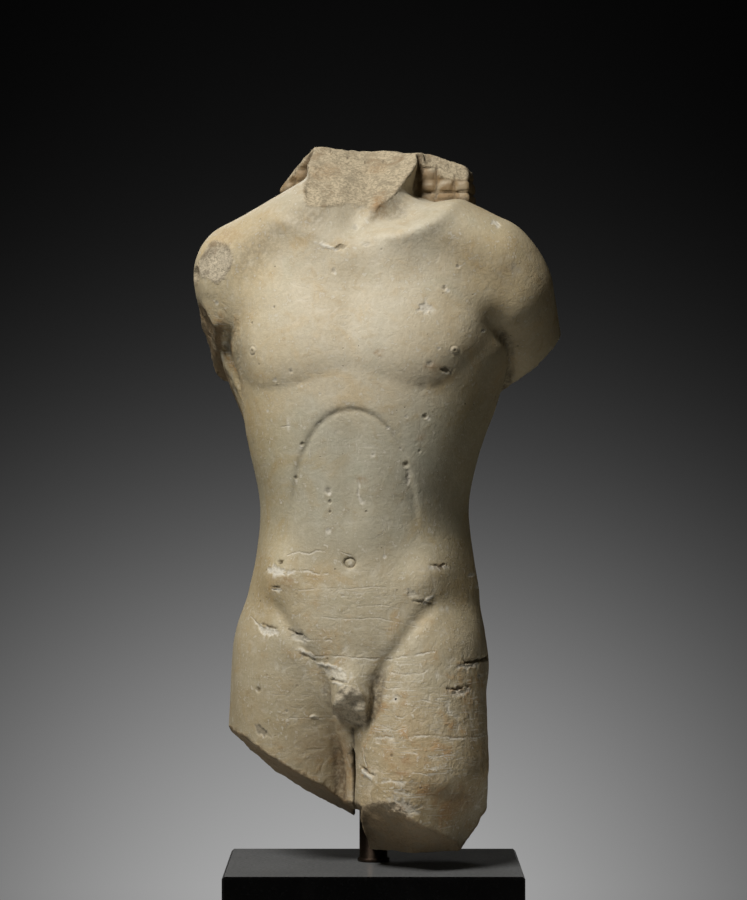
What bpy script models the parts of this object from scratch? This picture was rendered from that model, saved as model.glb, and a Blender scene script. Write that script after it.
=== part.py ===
"""Broken marble torso of a standing youth, held by a steel post on a black stone plinth.

The stone is described as a field: a number for every point, negative inside the marble. Masses such as the
trunk, the shoulders and the thighs are blended into each other, shallow carving is added to them, and rough
planes break off the neck, the arms and the legs. Blender's volume mesher turns the field into a surface.
Metres, +Z up, origin at the centre of the plinth's underside, front towards -Y. Left and right are those of
someone who looks at the front, so left is -X.
"""

import math

import bmesh
import bpy
import numpy as np
import openvdb

# Stand
PLINTH_WIDTH = 0.260
PLINTH_DEPTH = 0.200
PLINTH_HEIGHT = 0.100
PLINTH_CHAMFER = 0.0022
POST_RADIUS = 0.0125
POST_TOP = 0.300
POST_BACK = 0.010
POST_SIDES = 32
COLLAR_RADIUS = 0.0142
COLLAR_HEIGHT = 0.0030
FIT_GAP = 0.0003

# Meshing of the torso: spacing of the samples, triangles kept, and the box that holds the stone
CELL = 0.0035
TORSO_TRIANGLES = 9000
LOWEST = (-0.180, -0.125, 0.100)
HIGHEST = (0.180, 0.135, 0.750)

# How far the body is turned to the left on its stand. Its own frame has its sideways axis through both
# shoulders, its depth axis negative in front, and heights from the plinth's underside
TURN = math.radians(10.0)

# Sideways place of the body's midline at each height
MIDLINE = ((0.10, -0.010), (0.30, -0.0095), (0.42, -0.0085), (0.55, -0.006), (0.70, -0.008))
# Trunk sections: height, half width, reach forward, reach back, squareness of the outline, how far behind the
# post's axis the section is widest, and how much narrower its front is than that, as a share
TRUNK = (
    (0.180, 0.012, 0.030, 0.030, 2.2, 0.000, 0.00),
    (0.225, 0.030, 0.052, 0.050, 2.2, 0.004, 0.00),
    (0.265, 0.0708, 0.0643, 0.070, 2.2, 0.010, 0.07),
    (0.300, 0.1023, 0.0708, 0.076, 2.2, 0.016, 0.02),
    (0.335, 0.1043, 0.0706, 0.074, 2.2, 0.020, 0.08),
    (0.370, 0.0992, 0.0681, 0.067, 2.2, 0.022, 0.18),
    (0.415, 0.0943, 0.0720, 0.062, 2.25, 0.022, 0.13),
    (0.460, 0.1020, 0.0755, 0.067, 2.25, 0.022, 0.03),
    (0.510, 0.1182, 0.0788, 0.077, 2.25, 0.020, 0.07),
    (0.560, 0.1290, 0.0779, 0.084, 2.30, 0.018, 0.05),
    (0.610, 0.1110, 0.0667, 0.086, 2.30, 0.014, -0.02),
    (0.650, 0.0850, 0.0610, 0.078, 2.15, 0.010, -0.01),
    (0.685, 0.0500, 0.034, 0.052, 2.0, 0.004, 0.00),
    (0.705, 0.0150, 0.015, 0.020, 2.0, 0.000, 0.00),
)
# Carved lines of the front, as (distance from the midline, height). The breast's edge differs by side
CHEST_EDGE_RIGHT = (
    (0.000, 0.541), (0.030, 0.532), (0.052, 0.5250), (0.068, 0.5235), (0.082, 0.5310),
    (0.094, 0.543), (0.106, 0.557), (0.117, 0.5710), (0.128, 0.590), (0.134, 0.610),
)
CHEST_EDGE_LEFT = (
    (0.000, 0.541), (0.030, 0.532), (0.055, 0.525), (0.075, 0.522), (0.092, 0.525),
    (0.103, 0.534), (0.108, 0.552), (0.114, 0.574), (0.122, 0.602),
)
ARCH_HALF = 0.0548
ARCH_FOOT = 0.388
ARCH_RISE = 0.112
ARCH_ROUND = 0.91
RIB_ARCH = tuple(
    (
        ARCH_HALF * math.sin(math.radians(turn)) ** ARCH_ROUND,
        ARCH_FOOT + ARCH_RISE * math.cos(math.radians(turn)) ** ARCH_ROUND,
    )
    for turn in range(0, 91, 10)
)
ARCH_WIDTH = 0.0034
GROIN = (
    (0.080, 0.340), (0.070, 0.331), (0.059, 0.317), (0.046, 0.299), (0.031, 0.279),
    (0.019, 0.258), (0.009, 0.240), (0.000, 0.226),
)
COLLAR_BONE = ((0.018, 0.647), (0.035, 0.652), (0.055, 0.660), (0.075, 0.668), (0.092, 0.677))
# Foot of the neck's right edge, and how far the edge leans outwards
NECK_EDGE = (0.0060, 0.6600)
NECK_EDGE_COS = math.cos(math.radians(34.0))
NECK_EDGE_SIN = math.sin(math.radians(34.0))
# Round masses in the body's frame: start, end, radius at each, and how much deeper than wide
SHOULDER_RIGHT = ((0.0465, -0.0040, 0.6590), (0.1100, 0.0117, 0.6362), 0.0435, 0.0357, 1.35)
SHOULDER_LEFT = ((-0.0350, 0.0010, 0.6665), (-0.1132, 0.0121, 0.6326), 0.0428, 0.0365, 1.42)
NECK = ((-0.002, 0.014, 0.600), (-0.004, 0.002, 0.800), 0.0500, 0.0480, 1.05)
THIGH_LEFT = ((-0.0548, 0.0087, 0.285), (-0.0678, 0.019, 0.080), 0.0634, 0.0650, 1.09)
THIGH_RIGHT = ((0.0555, -0.0033, 0.285), (0.0588, -0.037, 0.080), 0.0536, 0.0632, 1.18)
ARM_RIGHT = ((0.1269, 0.0212, 0.6060), (0.1375, 0.114, 0.480), 0.0372, 0.0345, 1.18)
ARM_LEFT = ((-0.1162, 0.0073, 0.6120), (-0.1290, 0.048, 0.500), 0.0372, 0.0380, 1.22)
BREAST_RIGHT = ((0.0756, -0.0233, 0.6109), (0.1234, -0.0003, 0.5951), 0.0199, 0.0219, 1.0)
BREAST_LEFT = ((-0.0738, -0.0265, 0.6028), (-0.1133, -0.0144, 0.5981), 0.0211, 0.0194, 1.0)
ARM_TIE = ((-0.1060, 0.034, 0.565), (-0.1030, 0.030, 0.478), 0.0360, 0.0205, 1.0)
# Ovals in the body's frame: centre and radii
BETWEEN_THIGHS = ((-0.001, 0.000, 0.180), (0.020, 0.034, 0.130))
BUTTOCK = ((0.051, 0.036, 0.272), (0.056, 0.060, 0.066))
STUB = ((0.002, -0.052, 0.252), (0.0200, 0.029, 0.031))
# Narrow cuts: half width, height of the top end, and the depth beyond which they reach
SLIT_HALF = 0.0016
SLIT_TOP = 0.222
SLIT_FRONT = -0.022
SLIT_BACK = 0.034
CLEFT_HALF = 0.0018
CLEFT_TOP = 0.322
CLEFT_DEPTH = 0.052
# Blends between masses
BROAD_BLEND = 0.018
THIGH_BLEND = 0.014
NARROW_BLEND = 0.006
BREAK_BLEND = 0.002
# Broken faces, in the stand's frame: a point on each and the way it faces
ARM_RIGHT_END = ((0.1462, 0.0, 0.5424), (0.68, 0.10, -0.72))
ARM_LEFT_END = ((-0.1500, 0.000, 0.5775), (-0.10, -0.42, -0.90))
ARM_LEFT_SIDE = ((-0.1290, 0.010, 0.5450), (-0.89, -0.20, -0.40))
LOCKS_RIGHT = ((0.0700, 0.0, 0.7225), (0.33, 0.0, 0.94))
LOCKS_FRONT = ((0.0590, 0.0115, 0.7126), (0.20, -0.72, 0.66))
LOCKS_LEFT = ((-0.0705, 0.0, 0.7165), (-0.74, 0.0, 0.67))
THIGH_LEFT_END = ((-0.0421, 0.0, 0.1620), (-0.50, -0.17, -0.86))
THIGH_LEFT_OUTER = ((-0.1041, 0.0, 0.2012), (-0.63, -0.15, -0.78))
THIGH_RIGHT_END = ((0.0300, 0.0, 0.1155), (0.02, 0.0, -1.0))
THIGH_RIGHT_OUTER = ((0.0945, 0.0, 0.1400), (0.80, 0.0, -0.60))
THIGH_RIGHT_FRONT = ((0.0058, -0.0660, 0.1430), (-0.45, -0.58, -0.68))
THIGH_RIGHT_TOE = ((0.0600, -0.0880, 0.1440), (0.05, -0.62, -0.78))
SHOULDER_CHIP = ((-0.1355, -0.0188, 0.6274), (-0.62, -0.76, 0.20))
# Broken faces on the stub of the genitals, in the body's frame
STUB_FRONT = ((0.000, -0.0770, 0.2520), (0.00, -0.93, -0.36))
STUB_UNDER = ((-0.002, -0.0740, 0.2440), (-0.25, -0.52, -0.81))
# How far the breaks of the thighs, of the locks and of the shoulder reach
THIGHS_PART = -0.0135
THIGHS_SHARE = 0.0035
LOCKS_LOWEST = 0.695
LOCKS_INNER = 0.0450
LOCKS_BREAK = 0.7060
CHIP_REACH = ((-0.1400, -0.0210, 0.6280), (0.0190, 0.0280, 0.0165))
SHOULDER_NOTCH = ((-0.1635, 0.0020, 0.6215), (0.0100, 0.0200, 0.0085))
# Long locks behind the neck: a bead's width and height, the mass's half width, middle and hem, and how far
# the beads stand out
LOCK_WIDTH = 0.0160
BEAD_HEIGHT = 0.0112
MANE_HALF = 0.0855
MANE_CENTRE = 0.0045
MANE_HEM = 0.600
BEAD_RELIEF = 0.0024
MANE_FRONT = 0.022
MANE_ROUND = 3.4
# Above this height the locks draw together, by this much for each metre
MANE_SHOULDER = 0.700
MANE_TAPER = 0.20
# How far the locks reach back from the post's axis: height, reach
MANE_REACH = ((0.600, 0.096), (0.640, 0.094), (0.680, 0.090), (0.720, 0.084), (0.760, 0.080))


def smooth_union(a, b, blend):
    share = np.clip(0.5 + 0.5 * (b - a) / blend, 0.0, 1.0)
    return b + (a - b) * share - blend * share * (1.0 - share)


def smooth_cut(a, b, blend):
    """What of a is outside b, with the edge between them eased."""
    return -smooth_union(-a, b, blend)


def along(stations, at, column=1):
    """Smooth curve through the stations: the value in that column at each position."""
    x = np.array([row[0] for row in stations])
    y = np.array([row[column] for row in stations])
    slope = np.gradient(y, x)
    at = np.clip(at, x[0], x[-1])
    i = np.clip(np.searchsorted(x, at) - 1, 0, len(x) - 2)
    span = x[i + 1] - x[i]
    t = (at - x[i]) / span
    return (
        (2 * t**3 - 3 * t**2 + 1) * y[i]
        + (t**3 - 2 * t**2 + t) * span * slope[i]
        + (3 * t**2 - 2 * t**3) * y[i + 1]
        + (t**3 - t**2) * span * slope[i + 1]
    )


def step(value, low, high):
    """0 below low, 1 above high, eased between. low may be the greater one."""
    t = np.clip((value - low) / (high - low), 0.0, 1.0)
    return t * t * (3.0 - 2.0 * t)


def hill(distance, width):
    return np.exp(-((distance / width) ** 2))


def ellipsoid(point, centre, radii):
    scaled = [(p - c) / r for p, c, r in zip(point, centre, radii)]
    reach = np.sqrt(sum(s * s for s in scaled))
    slope = np.sqrt(sum((s / r) ** 2 for s, r in zip(scaled, radii)))
    return reach * (reach - 1.0) / np.maximum(slope, 1e-9)


def limb(point, start, end, start_radius, end_radius, depth_share):
    """Round bar from start to end whose section is deeper than wide by depth_share."""
    axis = np.subtract(end, start)
    offset = [p - s for p, s in zip(point, start)]
    share = sum(o * a for o, a in zip(offset, axis)) / np.dot(axis, axis)
    share = np.clip(share, 0.0, 1.0)
    across = [o - a * share for o, a in zip(offset, axis)]
    across[1] = across[1] / depth_share
    radius = start_radius + (end_radius - start_radius) * share
    return np.sqrt(sum(c * c for c in across)) - radius


def stone_grain(point, size, seed):
    """Smooth random values from -1 to 1 on a lattice of that size."""
    table = np.random.default_rng(seed).uniform(-1.0, 1.0, (32, 32, 32))
    cell, weight = [], []
    for p in point:
        scaled = p / size
        floor = np.floor(scaled)
        t = scaled - floor
        cell.append(floor.astype(int))
        weight.append(t * t * (3.0 - 2.0 * t))
    total = 0.0
    for i in (0, 1):
        for j in (0, 1):
            for k in (0, 1):
                corner = table[(cell[0] + i) % 32, (cell[1] + j) % 32, (cell[2] + k) % 32]
                share = 1.0
                for side, t in zip((i, j, k), weight):
                    share = share * (t if side else 1.0 - t)
                total = total + corner * share
    return total


def body_frame(x, y, z):
    """The turned body's own frame: sideways, depth (front negative) and height."""
    return x * math.cos(TURN) - y * math.sin(TURN), x * math.sin(TURN) + y * math.cos(TURN), z


def line_distance(stations, a, b):
    """Distance from (a, b) to the line through the stations, and the share of the line passed there."""
    best = np.full(np.shape(a), 1e9)
    share = np.zeros(np.shape(a))
    for i in range(len(stations) - 1):
        (a0, b0), (a1, b1) = stations[i][:2], stations[i + 1][:2]
        run = ((a - a0) * (a1 - a0) + (b - b0) * (b1 - b0)) / ((a1 - a0) ** 2 + (b1 - b0) ** 2)
        t = np.clip(run, 0.0, 1.0)
        distance = np.hypot(a - a0 - t * (a1 - a0), b - b0 - t * (b1 - b0))
        share = np.where(distance < best, (i + t) / (len(stations) - 1), share)
        best = np.minimum(best, distance)
    return best, share


def trunk(side, v, w):
    half = along(TRUNK, w, 1)
    widest = along(TRUNK, w, 5)
    v = v - widest
    side = side + math.tan(TURN) * widest
    depth = np.where(v < 0, along(TRUNK, w, 2) + widest, along(TRUNK, w, 3) - widest)
    forward = np.clip(-v / depth, 0.0, 1.0)
    half = half * (1.0 - along(TRUNK, w, 6) * forward)
    n = along(TRUNK, w, 4)
    section = ((np.abs(side) / half) ** n + (np.abs(v) / depth) ** n) ** (1.0 / n)
    radius = np.hypot(side, v)
    return radius * (1.0 - 1.0 / np.maximum(section, 1e-4))


def front_relief(side, v, w):
    """Height of the carving on the front, in metres outwards."""
    out = np.abs(side)
    front = step(v, 0.040, 0.000)
    # Breast: a broad pillow with a round lower edge that fades towards the collar bones
    on_right = side > 0.0
    right_edge, _ = line_distance(CHEST_EDGE_RIGHT, out, w)
    left_edge, _ = line_distance(CHEST_EDGE_LEFT, out, w)
    edge = np.where(on_right, right_edge, left_edge)
    lower = np.where(on_right, along(CHEST_EDGE_RIGHT, out), along(CHEST_EDGE_LEFT, out))
    rise = np.clip((np.where(w > lower, edge, -edge) + 0.004) / 0.026, 0.0, 1.0)
    breast = (1.0 - (1.0 - rise) ** 2) * step(w, 0.680, 0.585) * step(out, 0.150, 0.095)
    high = 0.0051 * breast * (0.43 + 0.57 * step(out, 0.006, 0.060))
    # Hollow of the right armpit, where breast and arm part
    high = high - 0.0060 * hill(np.hypot(side - 0.122, w - 0.574), 0.012)
    # The left flank lies back behind the stone that tied the arm to it
    high = high - 0.0090 * hill(w - 0.532, 0.040) * step(side, -0.085, -0.115)
    # Breastbone hollow and the hollow down the belly
    high = high - 0.0020 * hill(side, 0.012) * step(w, 0.540, 0.580) * step(w, 0.640, 0.600)
    high = high - 0.0018 * hill(side, 0.011) * step(w, 0.380, 0.410) * step(w, 0.500, 0.470)
    # Rib arch: the belly inside it lies back a little and a groove runs along its edge
    arch, _ = line_distance(RIB_ARCH, out, w)
    within = (out < 0.0548) & (w < along(RIB_ARCH, out))
    signed = np.where(within, arch, -arch)
    fade = step(w, 0.385, 0.425)
    high = high - 0.0022 * step(signed, -0.003, 0.007) * fade
    high = high - 0.0014 * hill(arch, ARCH_WIDTH) * fade
    # Hip muscle: an oval swelling over the hip bone, with a hollow on its outer side
    bulge = np.where(on_right, 0.0122, 0.0132)
    high = high + bulge * hill(np.hypot(out - 0.0691, (w - 0.3587) * 0.88), 0.0223)
    high = high - 0.0040 * hill(np.hypot(out - 0.104, (w - 0.370) * 0.7), 0.018)
    # Groin folds
    fold, share = line_distance(GROIN, out, w)
    high = high - 0.0038 * hill(fold, 0.0062) * step(share, 0.0, 0.30)
    # Collar bones, the hollow above them and the hollow of the throat
    bone, share = line_distance(COLLAR_BONE, out, w)
    bone_height = np.where(on_right, 0.0026, 0.0016)
    high = high + bone_height * hill(bone, 0.0080) * step(share, 1.0, 0.60) * step(share, 0.0, 0.3)
    high = high - 0.0045 * hill(np.hypot(side, (w - 0.664) * 0.8), 0.012)
    # Deep hollow on the right of the neck's edge, which slants outwards to the top
    aside = (side - NECK_EDGE[0]) * NECK_EDGE_COS - (w - NECK_EDGE[1]) * NECK_EDGE_SIN
    hollow = 1.0 - (1.0 - np.clip(aside / 0.026, 0.0, 1.0)) ** 2
    hollow = hollow * step(aside, 0.056, 0.026) * step(w, 0.649, 0.670)
    high = high - 0.0165 * hollow
    # Both thighs lean back towards their breaks
    lean = 0.0110 * step(w, 0.270, 0.150) * step(side, -0.004, -0.020)
    lean = lean + 0.0060 * step(w, 0.190, 0.120) * step(side, 0.004, 0.020)
    # and the right one is worn round at its outer foot
    lean = lean + 0.0200 * step(w, 0.195, 0.125) * step(side, 0.030, 0.085)
    high = high - lean * step(v, 0.010, -0.030)
    # Nipples and navel
    high = high + 0.0010 * hill(np.hypot(out - 0.0885, w - 0.5525), 0.0042)
    high = high - 0.0020 * hill(np.hypot(side * 0.85, w - 0.3675), 0.0048)
    return front * high


def back_relief(side, v, w):
    """Height of the plainer carving on the back, in metres outwards."""
    out = np.abs(side)
    rear = step(v, 0.012, 0.040)
    high = -0.0050 * hill(side, 0.011) * step(w, 0.640, 0.600) * step(w, 0.325, 0.370)
    high = high + 0.0060 * hill(np.hypot((out - 0.060) * 0.8, (w - 0.578) * 0.55), 0.028)
    high = high + 0.0030 * hill(np.hypot(out - 0.030, (w - 0.430) * 0.35), 0.022)
    high = high - 0.0030 * hill(np.hypot(out - 0.045, w - 0.350), 0.012)
    return rear * high


def broken_face(point, face):
    """Signed distance to a plane through a point, negative on the side that its normal points to."""
    place, normal = face
    unit = np.array(normal) / np.linalg.norm(normal)
    return -sum((p - q) * n for p, q, n in zip(point, place, unit))


def roughness(point):
    """Unevenness of broken stone, in metres."""
    return 0.0016 * stone_grain(point, 0.020, 3) + 0.0009 * stone_grain(point, 0.009, 5)


def arms(spot, point, rough):
    """Stumps of both upper arms, already broken off. spot is in the stand's frame, point in the body's."""
    right = limb(point, *ARM_RIGHT)
    right = smooth_cut(right, broken_face(spot, ARM_RIGHT_END) + rough, BREAK_BLEND)
    # Of the left arm only the shoulder cap is left, and the stone that tied the arm to the flank
    side_face = broken_face(spot, ARM_LEFT_SIDE)
    end_face = np.minimum(broken_face(spot, ARM_LEFT_END), side_face)
    left = smooth_cut(limb(point, *ARM_LEFT), end_face + rough, BREAK_BLEND)
    tie = smooth_cut(limb(point, *ARM_TIE), side_face + rough, BREAK_BLEND)
    return right, smooth_union(left, tie, 2.0 * BREAK_BLEND)


def mane(side, v, w):
    """Mass of long beaded locks behind the neck, falling on the upper back."""
    side = side - MANE_CENTRE
    half = MANE_HALF - MANE_TAPER * np.maximum(w - MANE_SHOULDER, 0.0)
    back = along(MANE_REACH, w) - MANE_ROUND * side**2
    across = np.abs(side) - half
    deep = np.abs(v - 0.5 * (back + MANE_FRONT)) - 0.5 * (back - MANE_FRONT)
    slab = np.minimum(np.maximum(across, deep), 0.0)
    slab = slab + np.hypot(np.maximum(across, 0.0), np.maximum(deep, 0.0))
    slab = smooth_cut(slab, w - MANE_HEM, 0.004)
    column = (side / LOCK_WIDTH + 0.5) % 1.0 - 0.5
    row = (w / BEAD_HEIGHT) % 1.0 - 0.5
    bead = (1.0 - np.abs(2.0 * column) ** 3) * (1.0 - np.abs(2.0 * row) ** 3)
    return slab - BEAD_RELIEF * (bead - 0.5)


def legs(point):
    """Both thighs, close together and joined between."""
    thighs = smooth_union(limb(point, *THIGH_LEFT), limb(point, *THIGH_RIGHT), NARROW_BLEND)
    return smooth_union(thighs, ellipsoid(point, *BETWEEN_THIGHS), NARROW_BLEND)


def torso_field(x, y, z):
    """The carved marble before its breaks, with only the arms and the genitals already broken."""
    spot = (x, y, z)
    u, v, w = body_frame(x, y, z)
    side = u - along(MIDLINE, w)
    point = (side, v, w)
    rough = roughness(spot)
    body = trunk(side, v, w)
    for mass in (SHOULDER_RIGHT, SHOULDER_LEFT):
        body = smooth_union(body, limb(point, *mass), BROAD_BLEND)
    body = smooth_union(body, limb(point, *NECK), NARROW_BLEND)
    body = smooth_union(body, legs(point), THIGH_BLEND)
    body = smooth_union(body, ellipsoid((np.abs(side), v, w), *BUTTOCK), THIGH_BLEND)
    body = body - front_relief(side, v, w) - back_relief(side, v, w)
    # Slit between the thighs, in front and behind, and the cleft above it
    slit = np.hypot(side, np.maximum(w - SLIT_TOP, 0.0)) - SLIT_HALF
    body = smooth_cut(body, np.maximum(slit, v - SLIT_FRONT), 0.003)
    body = smooth_cut(body, np.maximum(slit, SLIT_BACK - v), 0.003)
    cleft = np.hypot(side, np.maximum(w - CLEFT_TOP, 0.0)) - CLEFT_HALF
    body = smooth_cut(body, np.maximum(cleft, CLEFT_DEPTH - v), 0.008)
    # What is left of the genitals
    stub_break = np.minimum(broken_face(point, STUB_FRONT), broken_face(point, STUB_UNDER))
    stub = smooth_cut(ellipsoid(point, *STUB), stub_break + 1.6 * rough, BREAK_BLEND)
    body = smooth_union(body, stub, 0.002 + 0.014 * step(w, 0.245, 0.275))
    right_arm, left_arm = arms(spot, point, rough)
    right_arm = smooth_union(right_arm, limb(point, *BREAST_RIGHT), BROAD_BLEND)
    left_arm = smooth_union(left_arm, limb(point, *BREAST_LEFT), BROAD_BLEND)
    # Towards the shoulders the arms run into the chest, lower down they lie against it
    blend = 0.003 + 0.024 * step(w, 0.552, 0.605)
    body = smooth_union(body, right_arm, blend)
    body = smooth_union(body, left_arm, blend)
    return smooth_union(body, mane(side, v, w), 0.003)


def breaks(x, y, z):
    """Field of what is broken away at the neck and the legs, negative where stone is missing."""
    spot = (x, y, z)
    # The neck broke in a hollow slope that rises to the back, the locks behind it nearly level
    neck = 0.670 + 0.66 * (y + 0.050) + 0.40 * np.maximum(x + 0.005, 0.0) + 1.5 * np.maximum(-0.058 - x, 0.0)
    neck = neck + 0.0100 * step(x, -0.004, -0.030)
    top = 0.7370 - 0.05 * (x + 0.030)
    gone = (np.minimum(neck, top) - z) * 0.8
    for face in (LOCKS_RIGHT, THIGH_RIGHT_END, THIGH_RIGHT_OUTER):
        gone = np.minimum(gone, broken_face(spot, face))
    for face in (THIGH_RIGHT_FRONT, THIGH_RIGHT_TOE):
        gone = np.minimum(gone, np.maximum(broken_face(spot, face), THIGHS_PART - THIGHS_SHARE - x))
    locks_front = np.maximum(broken_face(spot, LOCKS_FRONT), np.maximum(LOCKS_INNER - x, LOCKS_BREAK - z))
    gone = np.minimum(gone, locks_front)
    gone = np.minimum(gone, np.maximum(broken_face(spot, LOCKS_LEFT), LOCKS_LOWEST - z))
    for face in (THIGH_LEFT_END, THIGH_LEFT_OUTER):
        gone = np.minimum(gone, np.maximum(broken_face(spot, face), x - THIGHS_PART - THIGHS_SHARE))
    gone = np.minimum(gone, np.maximum(broken_face(spot, SHOULDER_CHIP), ellipsoid(spot, *CHIP_REACH)))
    gone = np.minimum(gone, ellipsoid(spot, *SHOULDER_NOTCH))
    return gone + roughness(spot)


def marble(x, y, z):
    return smooth_cut(torso_field(x, y, z), breaks(x, y, z), BREAK_BLEND)


def skin(field, cell):
    """Surface of the field, as a mesh of quads with its points in a fixed order."""
    counts = [int(round((h - l) / cell)) + 1 for l, h in zip(LOWEST, HIGHEST)]
    lines = [l + cell * np.arange(n) for l, n in zip(LOWEST, counts)]
    values = field(*np.meshgrid(*lines, indexing="ij", sparse=False))
    grid = openvdb.FloatGrid(background=1.0)
    grid.copyFromArray(values.astype(np.float32))
    points, quads = grid.convertToQuads(isovalue=0.0)
    return points * cell + np.array(LOWEST), quads


def mesh_object(name, points, faces, collection):
    mesh = bpy.data.meshes.new(name)
    mesh.from_pydata([tuple(p) for p in points.tolist()], [], faces.tolist())
    obj = bpy.data.objects.new(name, mesh)
    collection.objects.link(obj)
    return obj


def coloured(obj, name, colour, roughness_value, metallic=0.0):
    material = bpy.data.materials.new(name)
    material.use_nodes = True
    shader = material.node_tree.nodes["Principled BSDF"]
    shader.inputs["Base Color"].default_value = (*colour, 1.0)
    shader.inputs["Roughness"].default_value = roughness_value
    shader.inputs["Metallic"].default_value = metallic
    obj.data.materials.clear()
    obj.data.materials.append(material)


def collection_named(name):
    found = bpy.data.collections.new(name)
    bpy.context.scene.collection.children.link(found)
    return found


def into(obj, collection):
    for other in list(obj.users_collection):
        other.objects.unlink(obj)
    collection.objects.link(obj)


def make_plinth(collection):
    bpy.ops.mesh.primitive_cube_add(size=1.0, location=(0.0, 0.0, PLINTH_HEIGHT / 2))
    plinth = bpy.context.object
    plinth.name = "plinth"
    plinth.scale = (PLINTH_WIDTH, PLINTH_DEPTH, PLINTH_HEIGHT)
    bpy.ops.object.transform_apply(location=False, rotation=False, scale=True)
    edge = plinth.modifiers.new("arris", "BEVEL")
    edge.width = PLINTH_CHAMFER
    edge.segments = 1
    into(plinth, collection)
    coloured(plinth, "black stone", (0.008, 0.008, 0.009), 0.12)
    return plinth


def make_post(collection):
    """Round bar with a thin collar at its foot: a turned profile, run from its top down the outer side."""
    foot = PLINTH_HEIGHT + FIT_GAP
    profile = (
        (0.0, POST_TOP),
        (POST_RADIUS, POST_TOP),
        (POST_RADIUS, foot + COLLAR_HEIGHT),
        (COLLAR_RADIUS, foot + COLLAR_HEIGHT),
        (COLLAR_RADIUS, foot),
        (0.0, foot),
    )
    mesh = bpy.data.meshes.new("post")
    mesh.from_pydata([(r, 0.0, z) for r, z in profile], [(i, i + 1) for i in range(len(profile) - 1)], [])
    post = bpy.data.objects.new("post", mesh)
    collection.objects.link(post)
    post.location = (0.0, POST_BACK, 0.0)
    turn = post.modifiers.new("turn", "SCREW")
    turn.steps = turn.render_steps = POST_SIDES
    turn.use_merge_vertices = True
    turn.merge_threshold = 0.00001
    coloured(post, "dark steel", (0.020, 0.015, 0.012), 0.45, 1.0)
    return post


def make_socket(cutters):
    """Drilled hole that the post stands in, from below the torso to just above the post's top."""
    bottom = PLINTH_HEIGHT - 0.010
    top = POST_TOP + FIT_GAP
    bpy.ops.mesh.primitive_cylinder_add(
        vertices=POST_SIDES, radius=POST_RADIUS + FIT_GAP, depth=top - bottom,
        location=(0.0, POST_BACK, (top + bottom) / 2),
    )
    socket = bpy.context.object
    socket.name = "socket cutter"
    socket.hide_render = True
    socket.display_type = "WIRE"
    into(socket, cutters)
    return socket


def make_torso(collection, socket):
    points, faces = skin(marble, CELL)
    torso = mesh_object("torso", points, faces, collection)
    shape = bmesh.new()
    shape.from_mesh(torso.data)
    bmesh.ops.recalc_face_normals(shape, faces=shape.faces)
    bmesh.ops.triangulate(shape, faces=shape.faces)
    shape.to_mesh(torso.data)
    triangles = len(shape.faces)
    shape.free()
    torso.data.shade_smooth()
    thin = torso.modifiers.new("thin", "DECIMATE")
    thin.ratio = TORSO_TRIANGLES / triangles
    drill = torso.modifiers.new("drill", "BOOLEAN")
    drill.operation = "DIFFERENCE"
    drill.solver = "EXACT"
    drill.object = socket
    coloured(torso, "weathered marble", (0.47, 0.41, 0.30), 0.62)
    return torso


def main():
    for obj in list(bpy.data.objects):
        bpy.data.objects.remove(obj)
    parts = collection_named("marble torso")
    cutters = collection_named("cutters")
    make_plinth(parts)
    make_post(parts)
    make_torso(parts, make_socket(cutters))


if __name__ == "__main__":
    main()
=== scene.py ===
"""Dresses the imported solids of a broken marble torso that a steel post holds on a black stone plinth.

The torso's stone is described as a field, a number for every point that is negative inside the marble. Its
surface is meshed finely, carved with the small forms and the damage of the real stone, and finished by a
Geometry Nodes tree that roughens the broken faces. Metres, +Z up, front towards -Y. Left and right are
those of someone who looks at the front, so left is -X.
"""

import math

import bmesh
import bpy
import numpy as np
import openvdb
from bpy.props import FloatProperty, FloatVectorProperty, IntProperty, PointerProperty
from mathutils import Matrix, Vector


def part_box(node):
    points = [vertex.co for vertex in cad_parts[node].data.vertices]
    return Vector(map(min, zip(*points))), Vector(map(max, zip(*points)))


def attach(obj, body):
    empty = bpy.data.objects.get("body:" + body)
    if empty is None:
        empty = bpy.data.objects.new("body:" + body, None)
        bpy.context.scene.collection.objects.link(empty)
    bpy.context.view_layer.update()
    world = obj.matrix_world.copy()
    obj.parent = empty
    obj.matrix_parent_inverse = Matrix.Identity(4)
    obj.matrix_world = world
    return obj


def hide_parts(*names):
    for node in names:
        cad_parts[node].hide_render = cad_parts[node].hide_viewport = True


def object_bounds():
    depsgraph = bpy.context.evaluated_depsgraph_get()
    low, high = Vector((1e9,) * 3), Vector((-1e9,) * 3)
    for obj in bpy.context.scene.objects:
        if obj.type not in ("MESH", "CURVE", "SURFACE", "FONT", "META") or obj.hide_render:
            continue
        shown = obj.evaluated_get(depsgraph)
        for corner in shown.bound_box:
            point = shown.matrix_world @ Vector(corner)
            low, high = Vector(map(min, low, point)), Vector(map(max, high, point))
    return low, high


bl_info = {
    "name": "Marble torso on a plinth",
    "version": (1, 0, 0),
    "blender": (4, 5, 0),
    "location": "View3D > Sidebar > Torso",
    "description": "Carves, breaks and weathers a marble torso, and finishes its post, plinth and stage",
    "category": "Object",
}

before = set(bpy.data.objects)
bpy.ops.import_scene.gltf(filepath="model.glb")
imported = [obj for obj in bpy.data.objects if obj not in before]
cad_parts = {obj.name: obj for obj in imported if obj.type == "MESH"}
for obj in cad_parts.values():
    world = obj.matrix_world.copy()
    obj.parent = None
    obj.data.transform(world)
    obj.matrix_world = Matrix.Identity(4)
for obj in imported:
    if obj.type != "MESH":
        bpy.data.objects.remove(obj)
CAD_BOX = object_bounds()
BODY = "root"
MILLIMETRE = 0.001
# A distance in metres that is greater than any on the sculpture
FAR_AWAY = 1.0

# Box that holds the stone while it is meshed
LOWEST = (-0.180, -0.125, 0.100)
HIGHEST = (0.180, 0.135, 0.750)
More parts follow.
